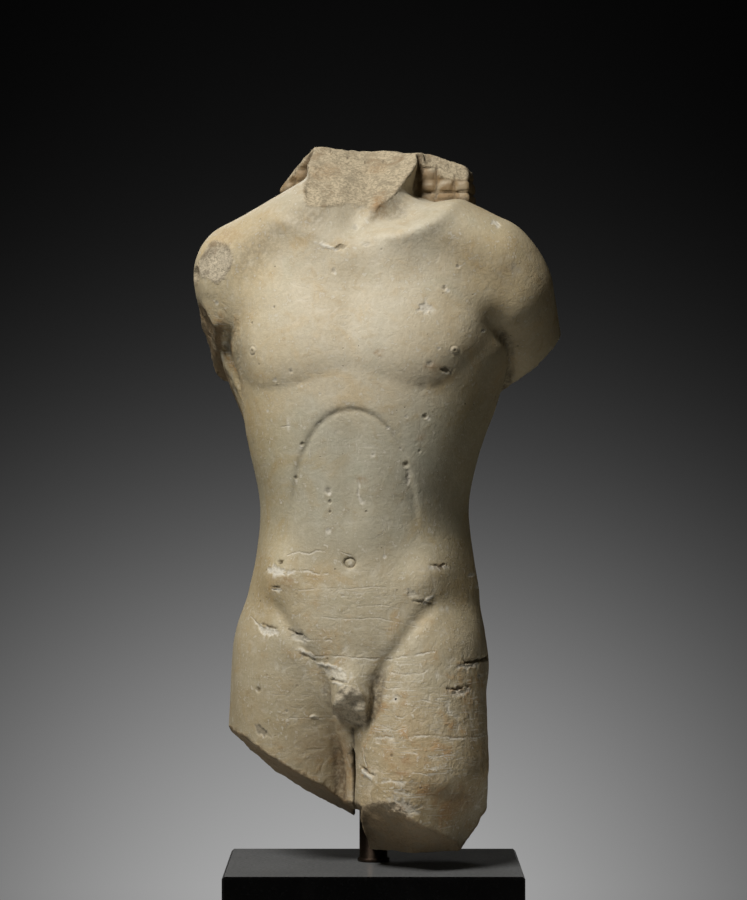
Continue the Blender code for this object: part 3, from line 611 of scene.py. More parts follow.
# Ragged chips: place, half length, half width, slope in degrees, depth (below 0 for a ridge), paleness, and
# darkening, which is dirt and painted shade: shade on the chips' walls away from the light and low on the
# right thigh, where it turns from the light
CHIPS = (
    (62.5, 588.5, 6.0, 5.0, -20.0, 0.9, 0.8, 0.1),
    (137.0, 623.0, 7.0, 4.5, 0.0, 0.5, 0.3, 0.2),
    (119.0, 663.5, 4.5, 2.2, -35.0, 0.6, 0.9, 0.0),
    (-23.5, 643.0, 9.5, 1.7, -21.0, -0.8, 0.9, 0.0),
    (-11.0, 641.5, 7.0, 1.8, 12.0, 1.5, 0.1, 0.6),
    (10.0, 644.0, 4.0, 2.0, 0.0, 0.6, 0.4, 0.2),
    (80.0, 534.5, 4.2, 2.3, 5.0, 1.7, 0.3, 0.7),
    (80.5, 531.7, 3.6, 0.9, 5.0, 0.2, 1.0, 0.0),
    (49.2, 442.0, 5.6, 1.8, 80.0, 0.8, 0.8, 0.2),
    (8.0, 430.0, 9.5, 1.5, -84.0, 0.9, 0.9, 0.2),
    (-62.5, 367.6, 3.2, 1.8, 12.0, 2.4, 0.0, 1.0),
    (-65.5, 360.0, 11.0, 3.6, -4.0, 0.9, 1.0, 0.0),
    (-67.5, 344.0, 6.5, 1.5, 3.0, 0.8, 1.0, 0.0),
    (-66.5, 346.4, 6.0, 0.9, 3.0, 1.2, 0.0, 0.9),
    (84.0, 170.0, 24.0, 8.0, -12.0, 0.5, 0.0, 0.4),
    (108.0, 192.0, 10.0, 9.0, 0.0, 0.3, 0.0, 0.35),
    (55.0, 176.0, 15.0, 5.0, 20.0, 0.3, 0.0, 0.3),
    (74.5, 365.6, 7.5, 0.8, -5.0, 1.0, 0.0, 0.6),
    (76.0, 363.2, 8.0, 1.5, -5.0, 0.4, 1.0, 0.0),
    (54.0, 341.0, 6.0, 4.5, 0.0, 0.8, 0.5, 0.2),
    (66.5, 335.5, 5.0, 1.7, 48.0, -0.7, 1.0, 0.0),
    (60.0, 334.0, 9.0, 1.4, -12.0, 1.0, 0.0, 0.6),
    (78.5, 327.8, 6.0, 0.8, 0.0, 0.5, 0.9, 0.0),
    (-87.5, 313.5, 4.5, 1.0, -38.0, 0.7, 1.0, 0.0),
    (-75.0, 307.0, 10.0, 3.5, -6.0, 1.1, 1.0, 0.0),
    (-74.0, 311.5, 9.0, 1.2, -10.0, 1.3, 0.0, 0.8),
    (-45.5, 302.5, 8.0, 3.6, -14.0, 1.3, 0.7, 0.2),
    (-49.0, 306.0, 7.0, 1.1, -22.0, 1.4, 0.0, 0.9),
    (-38.0, 289.0, 9.5, 1.9, -24.0, -0.8, 0.9, 0.0),
    (-39.0, 286.2, 9.0, 1.0, -26.0, 1.3, 0.0, 0.8),
    (-18.0, 278.0, 13.0, 2.0, -10.0, -0.9, 1.0, 0.0),
    (-10.0, 271.0, 14.0, 6.0, -12.0, 0.8, 0.7, 0.0),
    (-9.0, 265.5, 10.0, 1.3, -4.0, 1.5, 0.1, 0.8),
    (-8.0, 263.0, 9.0, 1.2, -6.0, -0.8, 0.9, 0.0),
    (107.0, 281.8, 11.5, 1.9, 4.0, 2.6, 0.0, 1.0),
    (100.0, 278.0, 7.5, 2.4, 0.0, 0.8, 0.8, 0.0),
    (93.0, 259.5, 8.5, 1.3, 6.0, 1.6, 0.0, 0.9),
    (94.0, 255.8, 8.5, 3.0, 4.0, 1.0, 0.7, 0.0),
    (-81.0, 219.0, 6.5, 4.0, -25.0, 1.4, 0.3, 0.6),
    (-34.0, 232.4, 3.6, 2.2, 10.0, -1.1, 0.7, 0.0),
    (17.0, 187.5, 8.5, 1.6, -24.0, 2.2, 0.0, 0.9),
    (18.0, 184.4, 10.0, 1.7, -24.0, -1.2, 1.0, 0.0),
    (42.0, 180.5, 14.0, 1.1, 4.0, 0.7, 0.8, 0.0),
    (50.0, 171.5, 8.0, 1.0, -4.0, 0.6, 0.8, 0.0),
    (50.0, 159.0, 15.0, 7.0, -14.0, 1.4, 0.7, 0.2),
    (120.0, 190.0, 4.0, 8.0, 0.0, 1.6, 0.0, 0.7),
    (-56.0, 486.0, 4.4, 1.2, -84.0, 0.4, 0.9, 0.0),
)
# Scratches: width, paleness, and the points they run through
SCRATCHES = (
    (0.8, 0.9, ((-54.5, 374.5), (-46.0, 377.0), (-37.0, 374.5), (-30.5, 377.5), (-24.0, 377.8))),
    (0.9, 0.9, ((-49.0, 360.5), (-35.0, 359.5), (-27.0, 357.5), (-20.0, 358.5))),
    (0.6, 0.6, ((-43.0, 344.0), (-17.5, 345.5), (3.5, 345.0), (21.0, 347.5), (33.0, 346.0))),
    (1.0, 0.9, ((-5.0, 338.2), (9.0, 338.6))),
    (0.6, 0.6, ((-22.0, 320.0), (-2.0, 319.0), (26.0, 320.0), (44.0, 316.0), (57.0, 312.5))),
    (0.6, 0.6, ((9.0, 330.0), (30.0, 331.5), (41.0, 329.0))),
    (0.7, 0.8, ((-37.0, 300.5), (-16.0, 300.5))),
    (0.9, 1.0, ((-30.0, 285.8), (-5.5, 286.6), (9.0, 284.8), (35.0, 284.0), (61.5, 289.2), (72.0, 291.0))),
    (0.8, 0.9, ((38.5, 273.0), (47.0, 271.3), (54.0, 272.0), (63.0, 272.0), (70.0, 277.0))),
    (0.7, 0.8, ((42.0, 236.0), (50.0, 235.0), (58.0, 241.0))),
    (0.8, 0.8, ((89.5, 237.5), (99.0, 238.8), (108.0, 238.0))),
    (1.1, 0.9, (
        (24.5, 217.0), (35.0, 218.5), (50.0, 216.0), (61.5, 220.0), (79.0, 219.2), (93.0, 217.0),
        (112.0, 216.0),
    )),
    (0.6, 0.6, ((30.0, 227.0), (41.0, 224.0), (52.0, 226.5))),
    (0.6, 0.7, ((62.0, 205.0), (78.0, 202.0), (92.0, 204.0))),
    (0.7, 0.9, ((11.0, 205.5), (13.0, 198.0), (16.0, 192.0))),
    (0.6, 0.6, ((-92.0, 317.5), (-82.0, 311.0))),
    (0.5, 0.6, ((-58.0, 230.5), (-42.0, 231.5), (-30.0, 230.8))),
    (0.6, 0.8, ((-35.8, 470.0), (-35.8, 461.0))),
    (0.5, 0.8, ((-61.5, 485.5), (-57.0, 486.5))),
    (0.5, 0.5, ((-5.0, 429.5), (-14.0, 429.0))),
    (0.6, 0.7, ((-5.5, 376.0), (-1.0, 374.5))),
    (0.5, 0.6, ((28.0, 405.0), (31.0, 396.0), (24.0, 391.0))),
    (0.6, 0.8, ((61.0, 189.0), (75.0, 186.0), (86.0, 188.0))),
    (0.6, 0.7, ((66.0, 250.0), (78.0, 247.0))),
    (0.6, 0.7, ((25.0, 262.0), (33.0, 259.0), (44.0, 260.0))),
)
# A chip no deeper than this needs no finer mesh, and a pit smaller than this needs the finest
SHALLOW = 0.5
SMALL_PIT = 2.0
# Orange to brown stains: place, half length, half width, strength
STAINS = (
    (25.0, 549.0, 4.0, 3.5, 0.8), (-57.0, 351.0, 6.0, 3.5, 0.9), (93.0, 257.0, 9.0, 3.5, 0.7),
    (70.0, 537.0, 7.0, 4.0, 0.6), (-12.0, 190.0, 11.0, 40.0, 0.6), (55.0, 199.0, 9.0, 3.0, 0.8),
    (50.0, 188.0, 6.0, 2.5, 0.7), (51.0, 160.0, 9.0, 3.5, 0.8), (60.0, 477.0, 5.0, 3.0, 0.5),
    (-118.0, 655.0, 14.0, 9.0, 0.35), (-62.0, 350.0, 14.0, 9.0, 0.3), (75.0, 364.0, 5.0, 3.0, 0.5),
    (19.0, 680.0, 6.0, 13.0, 0.7), (-34.0, 712.0, 12.0, 8.0, 0.35), (8.0, 716.0, 10.0, 6.0, 0.35),
    (93.0, 160.0, 12.0, 8.0, 0.5), (-30.0, 205.0, 30.0, 16.0, 0.25), (10.0, 440.0, 5.0, 3.0, 0.5),
)
# How far the sharp groove of the rib arch lies to the right of the broad one
ARCH_SHIFT = 0.0015
NAVEL = (0.000, 0.3677)
NAVEL_RADIUS = 0.0044
NIPPLES = ((-0.0905, 0.5520), (0.0880, 0.5515))
NIPPLE_RADIUS = 0.0036
# Above this height the broken locks are clean
LOCKS_PALE = 0.709
# Small forms are carved on points of the body that lie in front of this depth
FRONT_LIMIT = 0.030
# Distances at which the stone around a point is felt, and the sum that counts as a deep hollow
HOLLOW_REACHES = (0.004, 0.009, 0.018)
HOLLOW_FULL = 1.4
# A point this near to a broken face belongs to it, and one this far away doesn't
FACE_NEAR = 0.0012
FACE_FAR = 0.0026


def on_front(v):
    """1 on the front of the body, easing to 0 towards its sides' backs."""
    return step(v, FRONT_LIMIT, FRONT_LIMIT - 0.018)


def near(side, v, w, place, height, reach):
    """Indices of the points within reach of a place on the front."""
    close = (np.abs(side - place) < reach) & (np.abs(w - height) < reach) & (v < FRONT_LIMIT)
    return np.nonzero(close)[0]


def metres(*values):
    return [value * MILLIMETRE for value in values]


def strengthen(marks, name, at, values):
    """Keeps the stronger of what is marked at those points and the new values."""
    marks[name][at] = np.maximum(marks[name][at], values)


def add_pits(side, v, w, marks, grain):
    for place, height, radius, depth, pale in PITS:
        place, height, radius, depth = metres(place, height, radius, depth)
        at = near(side, v, w, place, height, 4.0 * radius)
        distance = np.hypot(side[at] - place, w[at] - height) / radius + 0.35 * grain[at]
        marks["relief"][at] -= 0.8 * depth * np.exp(-(distance**2.6)) * (1.0 - 0.25 * pale)
        marks["relief"][at] += 0.08 * depth * hill(distance - 1.5, 0.4)
        strengthen(marks, "pale", at, pale * step(distance, 1.7, 0.6))
        # Painted shade and dirt together: darkens the middle of each pit, where shade falls in the hollow
        strengthen(marks, "dirt", at, 0.7 * (1.0 - pale) * step(distance, 1.05, 0.35))


def along_chip(side, w, place, height, slope):
    """Distances along and across a chip that runs at that slope in degrees."""
    angle = math.radians(slope)
    run = (side - place) * math.cos(angle) + (w - height) * math.sin(angle)
    rise = (w - height) * math.cos(angle) - (side - place) * math.sin(angle)
    return run, rise


def add_chips(side, v, w, marks, grain):
    for place, height, length, width, slope, depth, pale, dirt in CHIPS:
        place, height, length, width, depth = metres(place, height, length, width, depth)
        at = near(side, v, w, place, height, 1.8 * max(length, width))
        run, rise = along_chip(side[at], w[at], place, height, slope)
        oval = np.hypot(run / length, rise / width) + 0.75 * grain[at]
        inside = step(oval, 1.15, 0.55)
        marks["relief"][at] -= depth * inside * (1.0 + 0.5 * grain[at])
        strengthen(marks, "pale", at, pale * step(oval, 1.2, 0.7))
        # Dirt and painted shade: darkens the chip by its last column
        strengthen(marks, "dirt", at, dirt * step(oval, 1.1, 0.4))


def add_stains(side, v, w, marks, grain):
    for place, height, length, width, strength in STAINS:
        place, height, length, width = metres(place, height, length, width)
        at = near(side, v, w, place, height, 2.0 * max(length, width))
        oval = np.hypot((side[at] - place) / length, (w[at] - height) / width) + 0.4 * grain[at]
        strengthen(marks, "stain", at, strength * step(oval, 1.5, 0.2))


def scratch_frame(side, v, w):
    """Of the scratch nearest to each point: signed distance across it in widths, distance, and paleness."""
    across = np.full(len(side), FAR_AWAY)
    plain = np.full(len(side), FAR_AWAY)
    pale = np.zeros(len(side))
    for width, strength, places in SCRATCHES:
        for (a0, b0), (a1, b1) in zip(places, places[1:]):
            a0, b0, a1, b1 = metres(a0, b0, a1, b1)
            distance, _ = stretch_distance(side, w, (a0, b0), (a1, b1))
            signed = ((w - b0) * (a1 - a0) - (side - a0) * (b1 - b0)) / math.hypot(a1 - a0, b1 - b0)
            closer = (distance < plain) & (v < FRONT_LIMIT)
            across[closer] = signed[closer] / (width * MILLIMETRE)
            plain[closer] = distance[closer]
            pale[closer] = strength
    return across, plain, pale


def fine_carving(side, v, w, marks, settings):
    """Navel, nipples and the sharp groove of the rib arch."""
    all_points = slice(None)
    front = on_front(v)
    around = np.hypot(side - NAVEL[0], (w - NAVEL[1]) / 0.86) / NAVEL_RADIUS
    ring = hill(around - 1.0, 0.26)
    marks["relief"] -= front * settings.navel_depth * (ring - 0.35 * step(around, 0.8, 0.3))
    # Painted shade in the groove of the navel's ring
    strengthen(marks, "dirt", all_points, 0.75 * front * step(ring, 0.55, 0.95))
    strengthen(marks, "pale", all_points, 0.5 * front * step(around, 0.62, 0.4))
    for place, height in NIPPLES:
        around = np.hypot(side - place, w - height) / NIPPLE_RADIUS
        marks["relief"] += front * 0.0006 * step(around, 1.0, 0.2)
        marks["relief"] -= front * 0.0003 * hill(around - 1.12, 0.22)
        marks["relief"] -= front * 0.0009 * hill(around, 0.36)
        rim = step(around, 1.3, 0.9) * step(around, 0.4, 0.7)
        # Darkens the dimpled middle of each nipple
        strengthen(marks, "dirt", all_points, 0.8 * front * hill(around, 0.34))
        strengthen(marks, "pale", all_points, 0.25 * front * rim)
    arch, share = line_distance(RIB_ARCH, np.abs(side - ARCH_SHIFT), w)
    groove = hill(arch, settings.arch_width * 0.5) * step(share, 1.0, 0.80)
    marks["relief"] -= front * settings.arch_depth * groove
    # Painted shade at the bottom of the rib arch's groove
    strengthen(marks, "dirt", all_points, 0.10 * front * groove * step(arch, 0.0022, 0.0004))


def locks_relief(side, v, w, settings):
    """Relief of the grooves between the beads, how far a point is of the locks, and how far of a groove."""
    share = step(np.abs(mane(side, v, w)), 0.0045, 0.0020)
    column, row = in_bead(side - MANE_CENTRE, w)
    groove = np.maximum(step(column, 0.74, 0.98), 0.75 * step(row, 0.66, 0.98))
    return -settings.bead_depth * groove * share, share, groove * share


def stump(point, mass, face_distance):
    """1 on the face that breaks off a round mass of the body, 0 on the carved skin beside it."""
    return step(np.abs(face_distance), FACE_FAR, FACE_NEAR) * step(limb(point, *mass), 0.0, -0.0012)


def broken_share(x, y, z):
    """1 on the broken faces, 0 on the carved skin."""
    spot = (x, y, z)
    point = side, v, w = body_point(x, y, z)
    rough = roughness(spot)
    # The stumps of the arms, but not the chest and the flanks where they pass through the same planes
    flank = trunk(side, v, w)
    for mass in (SHOULDER_RIGHT, SHOULDER_LEFT, BREAST_RIGHT, BREAST_LEFT):
        flank = np.minimum(flank, limb(point, *mass))
    side_face = broken_face(spot, ARM_LEFT_SIDE) + rough
    end_face = np.minimum(broken_face(spot, ARM_LEFT_END) + rough, side_face)
    arms_share = np.maximum(
        stump(point, ARM_RIGHT, broken_face(spot, ARM_RIGHT_END) + rough),
        stump(point, ARM_LEFT, end_face),
    )
    arms_share = np.maximum(arms_share, stump(point, ARM_TIE, side_face)) * step(flank, 0.0010, 0.0040)
    share = np.maximum(step(breaks(x, y, z), FACE_FAR, FACE_NEAR), arms_share)
    stub_face = stub_break(point, rough)
    return np.maximum(share, step(np.abs(stub_face), FACE_FAR, FACE_NEAR) * (ellipsoid(point, *STUB) < 0.002))


def sheltered_share(side, w):
    """1 where old dirt has stayed on the breaks: under the left arm and low on the thighs."""
    return np.maximum.reduce([region(side, w, *row) for row in SHELTERED.values()])


def worn_share(side, v, w):
    """How much the skin has been eaten away: most on the right thigh and low on the belly."""
    less, foot = WORN_LESS
    thigh = region(side, w, *WORN_THIGH) * (1.0 - less * step(w, *foot))
    strength, height, share, radius = WORN_GROIN
    groin = strength * hill(np.hypot(side, (w - height) * share), radius)
    low_belly = region(np.abs(side), w, *WORN_BELLY)
    left_arm = region(side, w, *WORN_ARM) * step(w, *WORN_ABOVE)
    front = step(v, 0.045, 0.020)
    return np.clip(front * np.maximum.reduce([thigh, groin, low_belly, left_arm]), 0.0, 1.0)


def fineness(x, y, z):
    """How many times the mesh is to be divided near each point: more where the stone has small forms."""
    side, v, w = body_point(x, y, z)
    level = np.zeros(len(x), dtype=int)
    level[broken_share(x, y, z) > 0.0] = 1
    level[np.abs(mane(side, v, w)) < 0.004] = 1
    level[(np.abs(side) < 0.005) & (w < 0.228) & (v < -0.050)] = 2
    arch, _ = line_distance(RIB_ARCH, np.abs(side - ARCH_SHIFT), w)
    level[(arch < 0.005) & (v < FRONT_LIMIT) & (w > 0.38)] = 1
    for place, height, length, width, slope, depth, *_ in CHIPS:
        run, rise = along_chip(side, w, *metres(place, height), slope)
        length, width = metres(1.2 * length, 1.2 * width)
        close = np.maximum(np.abs(run) - length, np.abs(rise) - width) < MILLIMETRE
        level[close & (v < FRONT_LIMIT) & (abs(depth) > SHALLOW)] = 2
    for place, height, radius, *_ in PITS:
        at = near(side, v, w, *metres(place, height, 1.4 * radius + 1.2))
        level[at] = 3 if radius < SMALL_PIT else 2
    for place, height in (NAVEL, *NIPPLES):
        level[near(side, v, w, place, height, 2.0 * NIPPLE_RADIUS)] = 3
    return level


def sampled(field, cell):
    """The field on a grid: exact near the surface, and only roughly known away from it."""
    counts = [int(round((high - low) / cell)) + 1 for low, high in zip(LOWEST, HIGHEST)]
    lines = [low + cell * np.arange(count) for low, count in zip(LOWEST, counts)]
    coarse = field(*np.meshgrid(*[line[::BLOCK] for line in lines], indexing="ij"))
    nearest = [
        np.minimum((np.arange(count) + BLOCK // 2) // BLOCK, size - 1)
        for count, size in zip(counts, coarse.shape)
    ]
    values = coarse[np.ix_(*nearest)]
    i, j, k = np.nonzero(np.abs(values) < BLOCK_REACH * BLOCK * cell)
    values[i, j, k] = field(lines[0][i], lines[1][j], lines[2][k])
    return values


def stone_mesh(cell):
    """Quads on the surface of the marble, facing out."""
    grid = openvdb.FloatGrid(background=1.0)
    grid.copyFromArray(sampled(marble, cell).astype(np.float32))
    points, quads = grid.convertToQuads(isovalue=0.0)
    mesh = bpy.data.meshes.new("torso_marble")
    mesh.from_pydata((points * cell + np.array(LOWEST)).tolist(), [], quads.tolist())
    return mesh


def divide_finely(mesh):
    """Splits the faces near small forms, up to three times, and leaves triangles."""
    shape = bmesh.new()
    shape.from_mesh(mesh)
    bmesh.ops.recalc_face_normals(shape, faces=shape.faces)
    for level in (1, 2, 3):
        centres = np.array([face.calc_center_median() for face in shape.faces])
        wanted = fineness(*centres.T)
        edges = {edge for face, deep in zip(shape.faces, wanted) if deep >= level for edge in face.edges}
        bmesh.ops.subdivide_edges(shape, edges=list(edges), cuts=1, use_grid_fill=True)
    bmesh.ops.triangulate(shape, faces=shape.faces)
    shape.to_mesh(mesh)
    shape.free()


def coordinates(mesh):
    flat = np.empty(3 * len(mesh.vertices))
    mesh.vertices.foreach_get("co", flat)
    return flat.reshape(-1, 3)


def normals(mesh):
    mesh.update()
    flat = np.empty(3 * len(mesh.vertices), dtype=np.float32)
    mesh.vertex_normals.foreach_get("vector", flat)
    return flat.reshape(-1, 3).astype(float)


def settle(mesh, field, rounds, most=0.0015, probe=0.0004):
    """Moves the points of the mesh along their normals onto the surface of the field."""
    for _ in range(rounds):
        points = coordinates(mesh)
        out = normals(mesh)
        here = field(*points.T)
        ahead = field(*(points + probe * out).T)
        slope = np.maximum((ahead - here) / probe, 0.35)
        points -= out * np.clip(here / slope, -most, most)[:, None]
        mesh.vertices.foreach_set("co", points.ravel())
    mesh.update()


def hollowness(points, out):
    """0 on open stone and up to 1 in its folds and hollows, from how fast the field grows outwards."""
    total = 0.0
    for reach in HOLLOW_REACHES:
        total = total + np.clip(1.0 - marble(*(points + reach * out).T) / reach, 0.0, 1.0)
    return np.clip(total / HOLLOW_FULL, 0.0, 1.0)


def carve_finely(mesh, settings):
    """Adds the small forms and the damage, and stores what the material needs at each point."""
    points = coordinates(mesh)
    out = normals(mesh)
    spot = points.T
    point = side, v, w = body_point(*spot)
    grain, coarse, cross = (grains(spot, layers) for layers in (FINE_GRAIN, COARSE_GRAIN, CROSS_GRAIN))
    marks = {name: np.zeros(len(points)) for name in ("relief", "pale", "dirt", "stain")}
    fine_carving(side, v, w, marks, settings)
    add_chips(side + 0.0014 * coarse, v, w + 0.0012 * cross, marks, grain)
    add_pits(side, v, w, marks, grain)
    add_stains(side, v, w, marks, grain)
    relief, locks, grooves = locks_relief(side, v, w, settings)
    broken = broken_share(*spot)
    chip = broken * step(ellipsoid(spot, *CHIP_REACH), 0.004, -0.001)
    stub = broken * step(ellipsoid(point, *STUB), 0.006, 0.002)
    marks["relief"] += stub * (0.0020 * coarse + 0.0014 * cross)
    marks["relief"] = (marks["relief"] + relief * (1.0 - broken)) * settings.damage
    across, plain, pale = scratch_frame(side, v, w + 0.0009 * cross)
    mesh.vertices.foreach_set("co", (points + out * marks["relief"][:, None]).ravel())
    mesh.update()
    stored = {
        "broken": broken,
        "pale": np.maximum.reduce([marks["pale"] * (1.0 - 0.6 * broken), 0.22 * chip, 0.28 * stub]),
        # Dirt and painted shade together: pits, chips, the navel's ring and the rib arch's groove
        "dirt": marks["dirt"],
        "stain": marks["stain"],
        "worn": worn_share(side, v, w),
        "sheltered": sheltered_share(side, w),
        "locks": locks * (1.0 - broken * step(w, LOCKS_PALE - 0.006, LOCKS_PALE)),
        # Painted shade: how hollow the stone is and the grooves between the beads, darkened in the material
        "hollow": np.maximum(hollowness(points, out), 0.9 * grooves),
        "scratch_across": across,
        "scratch_near": np.minimum(plain, 20.0 * MILLIMETRE) / MILLIMETRE,
        "scratch_pale": pale,
    }
    for name, values in stored.items():
        attribute = mesh.attributes.new(name, "FLOAT", "POINT")
        attribute.data.foreach_set("value", np.asarray(values, dtype=np.float32))


class Recipe:
    """Adds nodes to a tree in few words. A value given for an input is set, and a socket is linked."""

    def __init__(self, tree):
        self.tree = tree

    def node(self, kind, inputs=None, **settings):
        made = self.tree.nodes.new(kind)
        for name, value in settings.items():
            setattr(made, name, value)
        for key, value in (inputs or {}).items():
            if isinstance(value, bpy.types.NodeSocket):
                self.tree.links.new(value, made.inputs[key])
            else:
                made.inputs[key].default_value = value
        return made

    def math(self, operation, a, b=0.0, clamp=False):
        made = self.node("ShaderNodeMath", {0: a, 1: b}, operation=operation, use_clamp=clamp)
        return made.outputs[0]

    def total(self, *parts):
        found = parts[0]
        for part in parts[1:]:
            found = self.math("ADD", found, part)
        return found

    def product(self, *parts):
        found = parts[0]
        for part in parts[1:]:
            found = self.math("MULTIPLY", found, part)
        return found

    def less(self, value, taken):
        return self.math("SUBTRACT", value, taken)

    def size(self, value):
        return self.math("ABSOLUTE", value)

    def linear(self, value, times, more):
        return self.total(self.product(value, times), more)

    def swing(self, noise, times):
        """The noise about 0 instead of 0.5, as many times as strong."""
        return self.product(self.less(noise, 0.5), times)

    def between(self, value, low, high, to_low=0.0, to_high=1.0):
        """Eased from to_low at low to to_high at high."""
        inputs = {"Value": value, "From Min": low, "From Max": high, "To Min": to_low, "To Max": to_high}
        return self.node("ShaderNodeMapRange", inputs, interpolation_type="SMOOTHSTEP").outputs[0]

    def noise(self, place, scale, detail=3.0, rough=0.5, warp=0.0):
        inputs = {"Vector": place, "Scale": scale, "Detail": detail, "Roughness": rough, "Distortion": warp}
        return self.node("ShaderNodeTexNoise", inputs).outputs["Fac"]

    def blotches(self, place, scale, share, size):
        """1 in round spots, one in some of the cells of a random pattern, easing to 0 at their rims."""
        cells = self.node("ShaderNodeTexVoronoi", {"Vector": place, "Scale": scale})
        split = self.node("ShaderNodeSeparateColor", {0: cells.outputs["Color"]})
        chosen = self.math("LESS_THAN", split.outputs[0], share)
        width = self.between(split.outputs[1], 0.0, 1.0, 0.35 * size, size)
        inside = self.math("SUBTRACT", 1.0, self.math("DIVIDE", cells.outputs["Distance"], width), clamp=True)
        return self.product(self.between(inside, 0.0, 0.6), chosen)

    def stretched(self, place, scale):
        return self.node("ShaderNodeMapping", {"Vector": place, "Scale": scale}).outputs[0]

    def parts(self, vector):
        return self.node("ShaderNodeSeparateXYZ", {0: vector}).outputs

    def mixed(self, share, under, over, blend="MIX"):
        inputs = {0: share, 6: under, 7: over}
        return self.node("ShaderNodeMix", inputs, data_type="RGBA", blend_type=blend).outputs[2]

    def painted(self, colour, *coats, blend="MIX"):
        """The colour under those coats, each with its share, its colour and how many times brighter."""
        for share, coat, factor in coats:
            colour = self.mixed(share, colour, opaque(coat, factor), blend)
        return colour

    def gradient(self, value, stops):
        made = self.node("ShaderNodeValToRGB", {0: value})
        made.color_ramp.interpolation = "EASE"
        ends = made.color_ramp.elements
        for (place, colour), end in zip((stops[0], stops[-1]), (ends[0], ends[1])):
            end.position = place
            end.color = colour
        for place, colour in stops[1:-1]:
            made.color_ramp.elements.new(place).color = colour
        return made.outputs[0]

    def stored(self, name):
        return self.node("ShaderNodeAttribute", attribute_name=name).outputs["Fac"]

    def finish(self, shader, colour, gloss, relief):
        """Gives the shader its colour, its roughness and its fine relief in metres."""
        bump = self.node("ShaderNodeBump", {"Strength": 1.0, "Distance": 1.0, "Height": relief})
        for source, name in ((colour, "Base Color"), (gloss, "Roughness"), (bump.outputs[0], "Normal")):
            self.tree.links.new(source, shader.inputs[name])


def opaque(colour, factor=1.0):
    return (colour[0] * factor, colour[1] * factor, colour[2] * factor, 1.0)


def new_material(name):
    """A material with only its shader. Gives the material, its recipe, its shader and the points' places."""
    material = bpy.data.materials.new(name)
    material.use_nodes = True
    recipe = Recipe(material.node_tree)
    place = recipe.node("ShaderNodeTexCoord").outputs["Object"]
    return material, recipe, material.node_tree.nodes["Principled BSDF"], place


def scratch_lines(recipe, place):
    """Pale body of the scratches and painted shade along their upper edge, from the distances stored on the
    mesh.
    """
    wobble = recipe.swing(recipe.noise(place, 330.0, 3.0, 0.7), 3.2)
    across = recipe.total(recipe.stored("scratch_across"), wobble)
    close = recipe.between(recipe.stored("scratch_near"), 3.4, 2.2)
    whole = recipe.between(recipe.noise(place, 95.0, 3.0, 0.6), 0.40, 0.56, 0.12, 1.0)
    pale = recipe.between(recipe.size(recipe.total(across, 0.35)), 1.15, 0.30)
    # Painted shade along the upper edge, the side away from the light above
    dark = recipe.between(recipe.size(recipe.less(across, 0.80)), 0.90, 0.25)
    strength = recipe.product(close, whole, recipe.stored("scratch_pale"))
    return recipe.product(pale, strength), recipe.product(dark, strength)


def hair_lines(recipe, place, worn):
    """Fine pale marks all over: lying ones where the stone is worn, a few that run up and down elsewhere."""
    lying = recipe.noise(recipe.stretched(place, (48.0, 48.0, 760.0)), 1.0, 4.0, 0.62, 0.6)
    upright = recipe.noise(recipe.stretched(place, (900.0, 900.0, 60.0)), 1.0, 3.0, 0.6, 0.4)
    patches = recipe.between(recipe.noise(place, 33.0, 2.0, 0.6), 0.40, 0.62)
    lying = recipe.product(recipe.between(lying, 0.55, 0.66), patches, recipe.linear(worn, 0.9, 0.20))
    upright = recipe.product(recipe.between(upright, 0.57, 0.70), patches, 0.45)
    return recipe.math("ADD", lying, upright, clamp=True)


# Patterns of the marble from broad to fine: scale, detail, roughness and distortion
MARBLE_PATTERNS = {
    "clouds": (9.0, 3.0, 0.55, 0.4),
    "blots": (30.0, 3.0, 0.60, 0.9),
    "mottle": (85.0, 4.0, 0.62, 0.5),
    "fleck": (260.0, 3.0, 0.62),
    "crumb": (420.0, 3.0, 0.7),
    "speckle": (640.0, 2.0, 0.6),
}
# Colours of the carved skin on the way up: share of the way, colour, and how many times brighter
SKIN_COLOURS = (
    (0.10, "thigh_colour", 0.94), (0.33, "thigh_colour", 1.0), (0.47, "belly_colour", 1.0),
    (0.60, "belly_colour", 1.03), (0.76, "chest_colour", 1.0), (0.90, "chest_colour", 1.0),
    (1.00, "chest_colour", 0.84),
)
SKIN_LOWEST = 0.10
SKIN_HIGHEST = 0.75
# Tints over the carved skin: pattern, value of it where the tint begins and where it is full, share, tint
SKIN_TINTS = (
    ("clouds", 0.42, 0.66, 0.30, "warm_tint"),
    ("blots", 0.52, 0.72, 0.55, "warm_tint"),
    ("blots", 0.46, 0.28, 0.30, "cool_tint"),
    ("streaks", 0.52, 0.76, 0.30, "streak_tint"),
    ("mottle", 0.52, 0.70, 0.48, "streak_tint"),
    ("fleck", 0.38, 0.64, 0.75, "grain_tint"),
)


